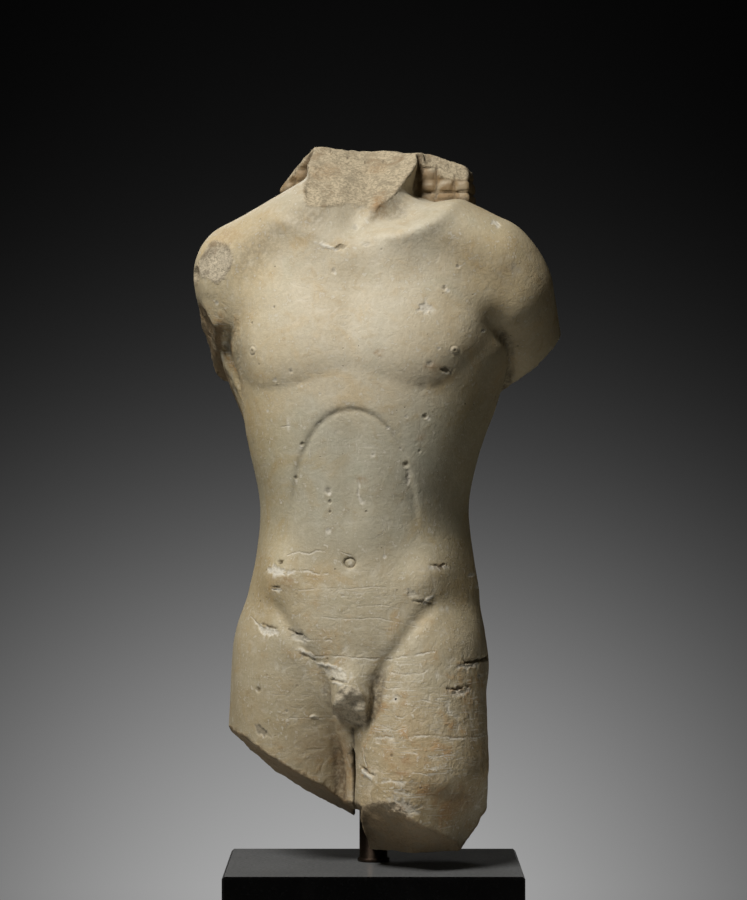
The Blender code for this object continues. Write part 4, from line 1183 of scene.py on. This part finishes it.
def carved_colour(recipe, settings, place, seen, worn, marks):
    """Colour of the carved skin, with the fine pale marks on it."""
    across, _, height = recipe.parts(place)
    level = recipe.total(height, recipe.swing(seen["clouds"], 0.14))
    stops = [(at, opaque(getattr(settings, name), factor)) for at, name, factor in SKIN_COLOURS]
    colour = recipe.gradient(recipe.between(level, SKIN_LOWEST, SKIN_HIGHEST), stops)
    # Warmer towards the flanks and the shoulders, and beside the belly
    outer = recipe.total(recipe.size(recipe.total(across, 0.008)), recipe.swing(seen["blots"], 0.05))
    upper = recipe.between(height, 0.28, 0.40, 0.35, 1.0)
    waist = recipe.product(recipe.between(height, 0.56, 0.50), recipe.between(height, 0.30, 0.35))
    tints = [
        (recipe.product(recipe.between(outer, 0.040, 0.120), upper), settings.flank_tint, 1.0),
        (recipe.product(recipe.between(outer, 0.035, 0.085), waist), settings.waist_tint, 1.0),
    ]
    for name, begins, full, share, tint in SKIN_TINTS:
        tints.append((recipe.between(seen[name], begins, full, 0.0, share), getattr(settings, tint), 1.0))
    colour = recipe.painted(colour, *tints, blend="MULTIPLY")
    # Rubbed pale patches, and the worn thigh with its tan and ochre
    rubbed = recipe.product(recipe.between(seen["mottle"], 0.48, 0.28), recipe.linear(worn, 0.50, 0.24))
    colour = recipe.painted(colour, (rubbed, settings.bruise_colour, 1.0))
    low = recipe.between(height, 0.275, 0.235)
    tan = recipe.product(recipe.between(seen["clouds"], 0.60, 0.40), low, worn)
    colour = recipe.painted(colour, (tan, settings.worn_tint, 1.0), blend="MULTIPLY")
    blots = recipe.between(seen["blots"], 0.50, 0.68)
    ochre = recipe.product(blots, recipe.between(seen["mottle"], 0.42, 0.62), worn, 0.62)
    lines, ticks = marks
    return recipe.painted(
        colour,
        (ochre, settings.stain_colour, 1.3),
        (recipe.product(lines, 0.80), settings.bruise_colour, 1.0),
        (ticks, settings.bruise_colour, 1.0),
    )


def broken_colour(recipe, settings, seen):
    """Colour of the broken faces: crumbs, rusty patches, old dirt in shelter, darker mottling."""
    crumbs = recipe.between(seen["crumb"], 0.34, 0.62)
    rust = recipe.product(
        recipe.between(seen["mottle"], 0.50, 0.66), recipe.between(seen["blots"], 0.44, 0.60), 0.55
    )
    return recipe.painted(
        opaque(settings.break_colour, 0.62),
        (crumbs, settings.break_colour, 1.06),
        (rust, settings.stain_colour, 1.1),
        (recipe.product(recipe.stored("sheltered"), 0.8), settings.locks_colour, 1.0),
        (recipe.between(seen["mottle"], 0.46, 0.62, 0.0, 0.6), settings.break_colour, 0.55),
    )


def marble_material(settings):
    """Old marble: cream above, greyer at the belly, browner at flanks and thighs, crumbly where broken."""
    material, recipe, shader, place = new_material("weathered marble")
    broken, worn = recipe.stored("broken"), recipe.stored("worn")
    seen = {name: recipe.noise(place, *values) for name, values in MARBLE_PATTERNS.items()}
    seen["streaks"] = recipe.noise(recipe.stretched(place, (46.0, 46.0, 7.0)), 1.0, 4.0, 0.6, 0.2)
    mottle, fleck = seen["mottle"], seen["fleck"]
    lines = hair_lines(recipe, place, worn)
    ticks = recipe.product(recipe.between(fleck, 0.56, 0.66), recipe.between(mottle, 0.42, 0.58), 0.60)
    carved = carved_colour(recipe, settings, place, seen, worn, (lines, ticks))
    colour = recipe.mixed(broken, carved, broken_colour(recipe, settings, seen))

    locks = recipe.product(recipe.stored("locks"), recipe.between(mottle, 0.30, 0.60, 0.55, 0.95))
    stain = recipe.product(recipe.stored("stain"), recipe.between(fleck, 0.34, 0.60, 0.25, 1.0))
    bruise = recipe.product(recipe.stored("pale"), recipe.between(seen["crumb"], 0.30, 0.55, 0.45, 1.0))
    pale_line, scratch_shade = scratch_lines(recipe, place)
    blots = recipe.between(seen["blots"], 0.35, 0.60)
    specks = recipe.product(recipe.blotches(place, 150.0, 0.12, 0.24), blots)
    dots = recipe.between(seen["speckle"], 0.64, 0.76)
    patchy = recipe.between(fleck, 0.30, 0.62, 0.45, 1.0)
    # Painted shade in the stone's folds and hollows and between the beads, from the stored hollowness, added
    # to the dirt and painted shade of pits, chips and grooves
    folds = recipe.product(recipe.between(recipe.stored("hollow"), 0.30, 0.95), patchy, 0.72)
    dirt_and_painted_shade = recipe.math("ADD", folds, recipe.product(recipe.stored("dirt"), 0.78), clamp=True)
    colour = recipe.painted(
        colour,
        (locks, settings.locks_colour, 1.0),
        (stain, settings.stain_colour, 1.0),
        (bruise, settings.bruise_colour, 1.0),
        (recipe.product(pale_line, 0.75), settings.bruise_colour, 1.0),
        # Painted shade along the upper edge of the scratches
        (recipe.product(scratch_shade, 0.34), settings.dirt_and_shade_colour, 1.8),
        (recipe.product(specks, 0.45), settings.dirt_and_shade_colour, 1.6),
        (recipe.product(dots, 0.20), settings.dirt_and_shade_colour, 1.6),
        # Dirt and painted shade of the folds, hollows, pits and grooves
        (dirt_and_painted_shade, settings.dirt_and_shade_colour, 1.0),
    )

    relief = recipe.total(
        recipe.product(seen["speckle"], 0.00016),
        recipe.product(fleck, recipe.linear(worn, 0.00060, 0.00030)),
        recipe.product(mottle, recipe.linear(worn, 0.0016, 0.0007)),
        recipe.product(seen["crumb"], recipe.linear(broken, 0.0011, 0.00016)),
        recipe.product(specks, -0.0004),
        recipe.product(recipe.total(lines, ticks), -0.00016),
        recipe.product(recipe.total(scratch_shade, pale_line), -0.0002),
    )
    gloss = recipe.total(recipe.between(mottle, 0.3, 0.7, 0.54, 0.66), recipe.product(broken, 0.24))
    gloss = recipe.math("ADD", gloss, recipe.product(dirt_and_painted_shade, 0.2), clamp=True)
    recipe.finish(shader, colour, gloss, relief)
    shader.inputs["Specular IOR Level"].default_value = 0.38
    return material


def steel_material(settings):
    """Dark brown patina on a steel bar, drawn out along it."""
    material, recipe, shader, place = new_material("browned steel")
    drawn = recipe.noise(recipe.stretched(place, (900.0, 900.0, 30.0)), 1.0, 3.0, 0.6)
    patches = recipe.noise(place, 75.0, 4.0, 0.6, 0.5)
    dust = recipe.noise(place, 600.0, 2.0, 0.6)
    colour = recipe.painted(
        opaque(settings.steel_colour, 0.7),
        (recipe.between(patches, 0.35, 0.68), settings.steel_colour, 1.5),
        (recipe.between(patches, 0.60, 0.74, 0.0, 0.5), settings.patina_colour, 1.0),
    )
    relief = recipe.total(recipe.product(drawn, 0.00003), recipe.product(patches, 0.00012))
    matt = recipe.between(dust, 0.5, 0.8, 0.0, 0.1)
    gloss = recipe.total(recipe.between(patches, 0.3, 0.7, 0.34, 0.52), matt)
    recipe.finish(shader, colour, gloss, relief)
    shader.inputs["Metallic"].default_value = 0.85
    return material


def plinth_material(settings):
    """Polished black stone with fine crystals, a grey painted reflection with a trace of dust on its top, and
    slightly uneven gloss.
    """
    material, recipe, shader, place = new_material("polished black stone")
    crystals = recipe.node("ShaderNodeTexVoronoi", {"Vector": place, "Scale": 640.0})
    sparkle = recipe.node("ShaderNodeSeparateColor", {0: crystals.outputs["Color"]}).outputs[0]
    clouds = recipe.noise(place, 24.0, 4.0, 0.6, 0.4)
    dust = recipe.noise(place, 330.0, 4.0, 0.7)
    # Painted reflection: the upward faces are greyed as if the black top mirrored the bright backdrop, with a
    # trace of dust in it
    upwards = recipe.parts(recipe.node("ShaderNodeNewGeometry").outputs["Normal"])[2]
    lying = recipe.product(recipe.between(upwards, 0.90, 0.99), recipe.between(dust, 0.20, 0.80, 0.35, 0.65))
    colour = recipe.painted(
        opaque(settings.stone_colour),
        (recipe.between(sparkle, 0.80, 1.0), settings.stone_colour, 1.8),
        (recipe.between(clouds, 0.40, 0.70, 0.0, 0.5), settings.stone_colour, 2.0),
        (lying, settings.dust_and_reflection_colour, 1.0),
    )
    gloss = recipe.total(recipe.between(clouds, 0.3, 0.7, 0.10, 0.17), recipe.product(lying, 0.10))
    relief = recipe.total(recipe.product(clouds, 0.00005), recipe.product(dust, 0.000001))
    recipe.finish(shader, colour, gloss, relief)
    shader.inputs["Specular IOR Level"].default_value = 0.12
    shader.inputs["Sheen Weight"].default_value = 0.1
    shader.inputs["Sheen Roughness"].default_value = 0.4
    return material


def floor_material(settings):
    """Matt pale floor that is hardly uneven in colour."""
    material, recipe, shader, place = new_material("pale studio floor")
    clouds = recipe.between(recipe.noise(place, 1.6, 3.0, 0.5), 0.3, 0.7)
    colour = recipe.painted(opaque(settings.floor_colour, 0.97), (clouds, settings.floor_colour, 1.0))
    recipe.tree.links.new(colour, shader.inputs["Base Color"])
    shader.inputs["Roughness"].default_value = 0.85
    return material


def tree_with(name, inputs):
    """A Geometry Nodes tree with those inputs. Gives it, its recipe, what it is given and its output."""
    tree = bpy.data.node_groups.new(name, "GeometryNodeTree")
    tree.interface.new_socket("Geometry", in_out="OUTPUT", socket_type="NodeSocketGeometry")
    for title, kind in (("Geometry", "NodeSocketGeometry"), *inputs):
        tree.interface.new_socket(title, in_out="INPUT", socket_type=kind)
    return tree, Recipe(tree), tree.nodes.new("NodeGroupInput").outputs, tree.nodes.new("NodeGroupOutput")


def finish_tree(recipe, geometry, material, exit_node):
    real = recipe.node("GeometryNodeRealizeInstances", {0: geometry})
    dressed = recipe.node("GeometryNodeSetMaterial", {"Geometry": real.outputs[0], "Material": material})
    recipe.tree.links.new(dressed.outputs[0], exit_node.inputs[0])


def weathering_tree():
    """Crumbles the broken faces and leaves the carved skin slightly uneven, along the stone's own normals."""
    numbers = ("Break Relief", "Break Grain", "Wear Relief", "Wear Grain", "Worn Times", "Seed")
    inputs = [(name, "NodeSocketFloat") for name in numbers] + [("Stone", "NodeSocketMaterial")]
    tree, recipe, given, exit_node = tree_with("weathering", inputs)
    place = recipe.node("GeometryNodeInputPosition").outputs[0]
    out = recipe.node("GeometryNodeInputNormal").outputs[0]
    shift = recipe.node("ShaderNodeCombineXYZ", {0: given["Seed"], 1: given["Seed"], 2: given["Seed"]})
    moved = recipe.node("ShaderNodeVectorMath", {0: place, 1: shift.outputs[0]}, operation="ADD").outputs[0]
    broken, worn = (
        recipe.node("GeometryNodeInputNamedAttribute", {"Name": name}, data_type="FLOAT").outputs[0]
        for name in ("broken", "worn")
    )

    def uneven(kind, detail, share):
        scale = recipe.math("DIVIDE", 1.0, given[kind + " Grain"])
        waves = recipe.swing(recipe.noise(moved, scale, detail, 0.6), 2.0)
        return recipe.product(waves, given[kind + " Relief"], share)

    skin_share = recipe.product(recipe.less(1.0, broken), recipe.linear(worn, given["Worn Times"], 1.0))
    height = recipe.total(uneven("Break", 3.0, broken), uneven("Wear", 2.0, skin_share))
    offset = recipe.node("ShaderNodeVectorMath", {0: out, "Scale": height}, operation="SCALE").outputs[0]
    placed = recipe.node("GeometryNodeSetPosition", {"Geometry": given["Geometry"], "Offset": offset})
    finish_tree(recipe, placed.outputs[0], given["Stone"], exit_node)
    return tree


def turned_bar_tree():
    """A round bar that stands on a collar: a line of rings, each with its height and its radius."""
    lengths = ("Foot", "Top", "Radius", "Collar Radius", "Collar Height", "Fillet", "Back")
    inputs = [(name, "NodeSocketFloat") for name in lengths]
    inputs += [("Sides", "NodeSocketInt"), ("Steel", "NodeSocketMaterial")]
    tree, recipe, given, exit_node = tree_with("turned bar", inputs)
    foot, top, radius, collar, fillet = (
        given[name] for name in ("Foot", "Top", "Radius", "Collar Radius", "Fillet")
    )
    plus, less = recipe.total, recipe.less
    shoulder = plus(foot, given["Collar Height"])
    half_fillet = recipe.product(fillet, 0.4)
    rings = (
        (foot, less(collar, half_fillet)),
        (plus(foot, half_fillet), collar),
        (less(shoulder, fillet), collar),
        (less(shoulder, half_fillet), less(collar, half_fillet)),
        (shoulder, plus(radius, fillet)),
        (plus(shoulder, half_fillet), plus(radius, half_fillet)),
        (plus(shoulder, fillet), radius),
        (less(top, fillet), radius),
        (top, less(radius, half_fillet)),
    )
    order = recipe.node("GeometryNodeInputIndex").outputs[0]
    heights = recipe.node("GeometryNodeIndexSwitch", data_type="FLOAT")
    radii = recipe.node("GeometryNodeIndexSwitch", data_type="FLOAT")
    for switch, column in ((heights, 0), (radii, 1)):
        while len(switch.index_switch_items) < len(rings):
            switch.index_switch_items.new()
        recipe.tree.links.new(order, switch.inputs[0])
        for i, ring in enumerate(rings):
            recipe.tree.links.new(ring[column], switch.inputs[1 + i])
    line = recipe.node("GeometryNodeMeshLine", {"Count": len(rings)}).outputs[0]
    spot = recipe.node("ShaderNodeCombineXYZ", {1: given["Back"], 2: heights.outputs[0]}).outputs[0]
    raised = recipe.node("GeometryNodeSetPosition", {"Geometry": line, "Position": spot}).outputs[0]
    axis = recipe.node("GeometryNodeMeshToCurve", {0: raised}).outputs[0]
    sized = recipe.node("GeometryNodeSetCurveRadius", {"Curve": axis, "Radius": radii.outputs[0]}).outputs[0]
    circle = {"Resolution": given["Sides"], "Radius": 1.0}
    ring_shape = recipe.node("GeometryNodeCurvePrimitiveCircle", circle).outputs[0]
    width = recipe.node("GeometryNodeInputRadius").outputs[0]
    swept = {"Curve": sized, "Profile Curve": ring_shape, "Scale": width, "Fill Caps": True}
    bar = recipe.node("GeometryNodeCurveToMesh", swept).outputs[0]
    finish_tree(recipe, bar, given["Steel"], exit_node)
    return tree


def through_tree(obj, tree, values):
    """Runs the object through the tree with those inputs and gives it the plain mesh that comes out."""
    modifier = obj.modifiers.new(tree.name, "NODES")
    modifier.node_group = tree
    sockets = {item.name: item.identifier for item in tree.interface.items_tree if item.in_out == "INPUT"}
    for name, value in values.items():
        modifier[sockets[name]] = value
    graph = bpy.context.evaluated_depsgraph_get()
    made = bpy.data.meshes.new_from_object(obj.evaluated_get(graph))
    obj.modifiers.remove(modifier)
    made.name = obj.name
    obj.data = made


def linked(name, data):
    """A new object of the scene with that mesh, light or camera."""
    obj = bpy.data.objects.new(name, data)
    bpy.context.scene.collection.objects.link(obj)
    return obj


def face_outwards(mesh):
    shape = bmesh.new()
    shape.from_mesh(mesh)
    bmesh.ops.recalc_face_normals(shape, faces=shape.faces)
    shape.to_mesh(mesh)
    shape.free()


def colour_property(name, description, default):
    return FloatVectorProperty(
        name=name, description=description, default=default, subtype="COLOR", size=3, min=0.0, max=1.0
    )


def length_property(name, description, default):
    return FloatProperty(
        name=name, description=description, default=default, min=0.0, unit="LENGTH", precision=5
    )


def power_property(name, description, default):
    return FloatProperty(name=name, description=description, default=default, min=0.0, unit="POWER")


class StoneSettings(bpy.types.PropertyGroup):
    cell: length_property("Mesh cell", "Size of the faces on plain parts of the marble", 0.0041)
    damage: FloatProperty(
        name="Damage", description="How deep the fine carving and the chips are, 1 as found", default=1.0,
        min=0.0, max=2.0, subtype="FACTOR",
    )
    navel_depth: length_property("Navel groove", "Depth of the ring round the navel", 0.0013)
    arch_width: length_property("Arch groove width", "Width of the groove along the rib arch", 0.0046)
    arch_depth: length_property("Arch groove depth", "How much deeper the rib arch is cut", 0.0006)
    bead_depth: length_property("Bead groove", "How much deeper the beads' grooves are cut", 0.0012)
    break_relief: length_property("Break relief", "Unevenness of the broken faces", 0.0012)
    break_grain: length_property("Break grain", "Size of the crumbs on the broken faces", 0.0060)
    wear_relief: length_property("Wear relief", "Unevenness of the carved skin", 0.00030)
    wear_grain: length_property("Wear grain", "Size of the hollows worn in the carved skin", 0.0160)
    worn_times: FloatProperty(
        name="Worn skin", description="How many times rougher the most worn skin is", default=2.2, min=0.0
    )
    seed: IntProperty(name="Seed", description="Picks another pattern of crumbs and wear", default=7, min=0)
    chest_colour: colour_property("Chest", "Colour of the marble on the chest", (0.66, 0.60, 0.465))
    belly_colour: colour_property("Belly", "Colour of the marble on the belly", (0.53, 0.50, 0.392))
    thigh_colour: colour_property("Thighs", "Colour of the marble on the thighs", (0.55, 0.484, 0.345))
    flank_tint: colour_property("Flanks", "Tint towards the flanks and the shoulders", (0.96, 0.90, 0.77))
    waist_tint: colour_property("Waist", "Tint of the waist beside the greyer belly", (1.0, 0.97, 0.90))
    warm_tint: colour_property("Warm patches", "Tint of the warmer patches", (0.97, 0.86, 0.69))
    cool_tint: colour_property("Cool patches", "Tint of the greyer patches", (0.86, 0.91, 0.89))
    grain_tint: colour_property("Grain", "Tint of the darker grains of the marble", (0.88, 0.87, 0.84))
    worn_tint: colour_property("Worn", "Tint of the worn skin", (0.90, 0.80, 0.66))
    streak_tint: colour_property("Streaks", "Tint of the upright streaks", (0.82, 0.74, 0.62))
    break_colour: colour_property("Breaks", "Colour of the broken faces", (0.54, 0.455, 0.315))
    locks_colour: colour_property("Locks", "Colour of the sheltered locks of hair", (0.25, 0.165, 0.080))
    bruise_colour: colour_property("Bruises", "Colour of fresh chips and scratches", (0.74, 0.70, 0.60))
    stain_colour: colour_property("Stains", "Colour of the rusty stains", (0.36, 0.21, 0.09))
    # Colour of the dirt and also of the painted shade in folds, hollows, pits, grooves and along the
    # scratches' upper edges
    dirt_and_shade_colour: colour_property("Dirt", "Colour of the dirt in hollows and pits", (0.085, 0.062, 0.036))


class PostSettings(bpy.types.PropertyGroup):
    bar_radius: length_property("Bar radius", "Radius of the bar above its collar", 0.0125)
    collar_height: length_property("Collar height", "Height of the collar at the foot", 0.0030)
    fillet: length_property("Fillet", "Rounding of the collar's edges", 0.0006)
    sides: IntProperty(name="Sides", description="Faces round the bar", default=96, min=12, max=256)
    steel_colour: colour_property("Steel", "Colour of the browned steel", (0.040, 0.027, 0.019))
    patina_colour: colour_property("Patina", "Colour of the rustier patches", (0.060, 0.034, 0.018))


class PlinthSettings(bpy.types.PropertyGroup):
    stone_colour: colour_property("Stone", "Colour of the black stone", (0.0016, 0.0016, 0.0017))
    # Grey of the plinth's top: a painted reflection of the backdrop with a trace of dust
    dust_and_reflection_colour: colour_property("Dust", "Colour of the dust on the plinth's top", (0.33, 0.34, 0.35))


class StageSettings(bpy.types.PropertyGroup):
    key_power: power_property("Key light", "Power of the soft light at the upper left", 70.0)
    fill_power: power_property("Fill light", "Power of the weak light at the right", 0.2)
    back_power: power_property("Back light", "Power of the light behind", 12.0)
    floor_half: length_property("Floor", "Half the side of the floor", 0.46)
    floor_colour: colour_property("Floor colour", "Colour of the floor", (0.56, 0.56, 0.55))
    camera_distance: length_property("Camera distance", "From the camera to the middle of the object", 2.865)
    camera_height: length_property("Camera height", "Height of the level camera", 0.4654)
    camera_lens: FloatProperty(
        name="Lens", description="Focal length on a sensor 36 mm high", default=129.3, min=1.0, unit="CAMERA"
    )


class CarveMarble(bpy.types.Operator):
    """Mesh, carve and weather the broken marble torso"""

    bl_idname = "torso.carve_marble"
    bl_label = "Carve the marble"

    def execute(self, context):
        settings = context.scene.torso_stone
        mesh = stone_mesh(settings.cell)
        divide_finely(mesh)
        settle(mesh, marble, 2)
        carve_finely(mesh, settings)
        torso = linked("torso_marble", mesh)
        values = {
            "Break Relief": settings.break_relief,
            "Break Grain": settings.break_grain,
            "Wear Relief": settings.wear_relief,
            "Wear Grain": settings.wear_grain,
            "Worn Times": settings.worn_times,
            "Seed": float(settings.seed),
            "Stone": marble_material(settings),
        }
        through_tree(torso, weathering_tree(), values)
        torso.data.shade_smooth()
        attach(torso, BODY)
        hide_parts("torso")
        return {"FINISHED"}


class TurnPost(bpy.types.Operator):
    """Turn the steel bar that carries the torso, with the collar at its foot"""

    bl_idname = "torso.turn_post"
    bl_label = "Turn the post"

    def execute(self, context):
        settings = context.scene.torso_post
        low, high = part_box("post")
        post = linked("post_bar", bpy.data.meshes.new("post_bar"))
        values = {
            "Foot": low.z,
            "Top": high.z,
            "Radius": settings.bar_radius,
            "Collar Radius": 0.5 * (high.x - low.x),
            "Collar Height": settings.collar_height,
            "Fillet": settings.fillet,
            "Back": 0.5 * (low.y + high.y),
            "Sides": settings.sides,
            "Steel": steel_material(settings),
        }
        through_tree(post, turned_bar_tree(), values)
        face_outwards(post.data)
        post.data.shade_smooth()
        post.data.set_sharp_from_angle(angle=math.radians(50.0))
        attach(post, BODY)
        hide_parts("post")
        return {"FINISHED"}


class FinishPlinth(bpy.types.Operator):
    """Give the plinth its polished black stone"""

    bl_idname = "torso.finish_plinth"
    bl_label = "Finish the plinth"

    def execute(self, context):
        material = plinth_material(context.scene.torso_plinth)
        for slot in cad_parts["plinth"].material_slots:
            slot.material = material
        return {"FINISHED"}


# Lights: name, place, size, the setting that holds the power, colour
LIGHTS = (
    ("key light", (-0.94, -1.50, 2.40), 0.8, "key_power", (1.0, 0.97, 0.92)),
    ("fill light", (1.6, -1.2, 0.9), 1.0, "fill_power", (0.95, 0.97, 1.0)),
    ("back light", (-0.6, 2.2, 1.9), 1.2, "back_power", (1.0, 0.98, 0.95)),
)
LIGHTS_AIM = Vector((0.0, 0.0, 0.45))
# The backdrop, a patch of the sky behind the object: how its brightness falls with height from a bright
# band low down to a nearly black top, how it falls to both sides, and where the dim sky of the room begins
SKY_LEVEL = 0.0264
SKY_FALL = 3.1
SKY_BAND = 0.12
SKY_MIDDLE = 0.03
SKY_BRIGHTEST = 0.40
SKY_SPREAD = 0.133
SKY_ASIDE = -0.008
SKY_COLOUR = (1.0, 1.0, 1.0)
PATCH_EDGE = 0.17
PATCH_FADE = 0.04
ROOM_LEVEL = 0.016
ROOM_COLOUR = (1.0, 0.90, 0.66)
SENSOR_HEIGHT = 36.0


def add_floor(settings):
    half = settings.floor_half
    ground = CAD_BOX[0].z
    mesh = bpy.data.meshes.new("floor")
    corners = [(-half, -half, ground), (half, -half, ground), (half, half, ground), (-half, half, ground)]
    mesh.from_pydata(corners, [], [(0, 1, 2, 3)])
    floor = linked("floor", mesh)
    floor.data.materials.append(floor_material(settings))


def add_lights(settings):
    for name, place, size, power, colour in LIGHTS:
        light = bpy.data.lights.new(name, "AREA")
        light.energy = getattr(settings, power)
        light.size = size
        light.color = colour
        lamp = linked(name, light)
        lamp.location = place
        lamp.rotation_euler = (LIGHTS_AIM - Vector(place)).to_track_quat("-Z", "Y").to_euler()


def studio_sky():
    """A dim warm room, with a backdrop behind the object that is bright below and dark above."""
    sky = bpy.data.worlds.new("studio sky")
    sky.use_nodes = True
    recipe = Recipe(sky.node_tree)
    across, ahead, up = recipe.parts(recipe.node("ShaderNodeTexCoord").outputs["Generated"])
    rise = recipe.product(recipe.less(up, SKY_MIDDLE), 1.0 / SKY_BAND)
    fall = recipe.product(recipe.math("TANH", rise), -SKY_FALL)
    level = recipe.product(recipe.math("EXPONENT", fall), SKY_LEVEL)
    level = recipe.math("MINIMUM", level, SKY_BRIGHTEST)
    aside = recipe.product(recipe.less(across, SKY_ASIDE), 1.0 / SKY_SPREAD)
    level = recipe.product(level, recipe.math("EXPONENT", recipe.product(aside, aside, -1.0)))
    off = recipe.math("MAXIMUM", recipe.size(across), recipe.size(up))
    behind = recipe.math("GREATER_THAN", ahead, 0.0)
    patch = recipe.product(recipe.between(off, PATCH_EDGE + PATCH_FADE, PATCH_EDGE), behind)
    room = recipe.product(recipe.less(1.0, patch), ROOM_LEVEL)
    strength = recipe.total(recipe.product(level, patch), room)
    colour = recipe.painted(opaque(ROOM_COLOUR), (patch, SKY_COLOUR, 1.0))
    background = sky.node_tree.nodes["Background"]
    recipe.tree.links.new(colour, background.inputs["Color"])
    recipe.tree.links.new(strength, background.inputs["Strength"])
    return sky


def add_camera(settings):
    """A level camera straight in front."""
    camera = linked("camera", bpy.data.cameras.new("camera"))
    camera.data.sensor_fit = "VERTICAL"
    camera.data.sensor_height = SENSOR_HEIGHT
    camera.data.lens = settings.camera_lens
    camera.location = (0.0, -settings.camera_distance, settings.camera_height)
    camera.rotation_euler = (math.radians(90.0), 0.0, 0.0)
    bpy.context.scene.camera = camera


class SetStage(bpy.types.Operator):
    """Set the floor, the lights, the sky and the camera"""

    bl_idname = "torso.set_stage"
    bl_label = "Set the stage"

    def execute(self, context):
        settings = context.scene.torso_stage
        add_floor(settings)
        add_lights(settings)
        context.scene.world = studio_sky()
        add_camera(settings)
        context.scene.view_settings.view_transform = "Standard"
        return {"FINISHED"}


GROUPS = (
    ("torso_stone", "Marble", StoneSettings, CarveMarble),
    ("torso_post", "Post", PostSettings, TurnPost),
    ("torso_plinth", "Plinth", PlinthSettings, FinishPlinth),
    ("torso_stage", "Stage", StageSettings, SetStage),
)


class TorsoPanel(bpy.types.Panel):
    """Lists the pieces of the sculpture with their sizes and colours"""

    bl_idname = "VIEW3D_PT_marble_torso"
    bl_label = "Marble torso"
    bl_space_type = "VIEW_3D"
    bl_region_type = "UI"
    bl_category = "Torso"

    def draw(self, context):
        for attribute, title, group, operator in GROUPS:
            box = self.layout.box()
            box.label(text=title)
            for name in group.__annotations__:
                box.prop(getattr(context.scene, attribute), name)
            box.operator(operator.bl_idname)


def register():
    for attribute, _, group, operator in GROUPS:
        bpy.utils.register_class(group)
        bpy.utils.register_class(operator)
        setattr(bpy.types.Scene, attribute, PointerProperty(type=group))
    bpy.utils.register_class(TorsoPanel)


def unregister():
    bpy.utils.unregister_class(TorsoPanel)
    for attribute, _, group, operator in reversed(GROUPS):
        delattr(bpy.types.Scene, attribute)
        bpy.utils.unregister_class(operator)
        bpy.utils.unregister_class(group)


def main():
    register()
    bpy.ops.torso.set_stage()
    bpy.ops.torso.finish_plinth()
    bpy.ops.torso.turn_post()
    bpy.ops.torso.carve_marble()


if __name__ == "__main__":
    main()
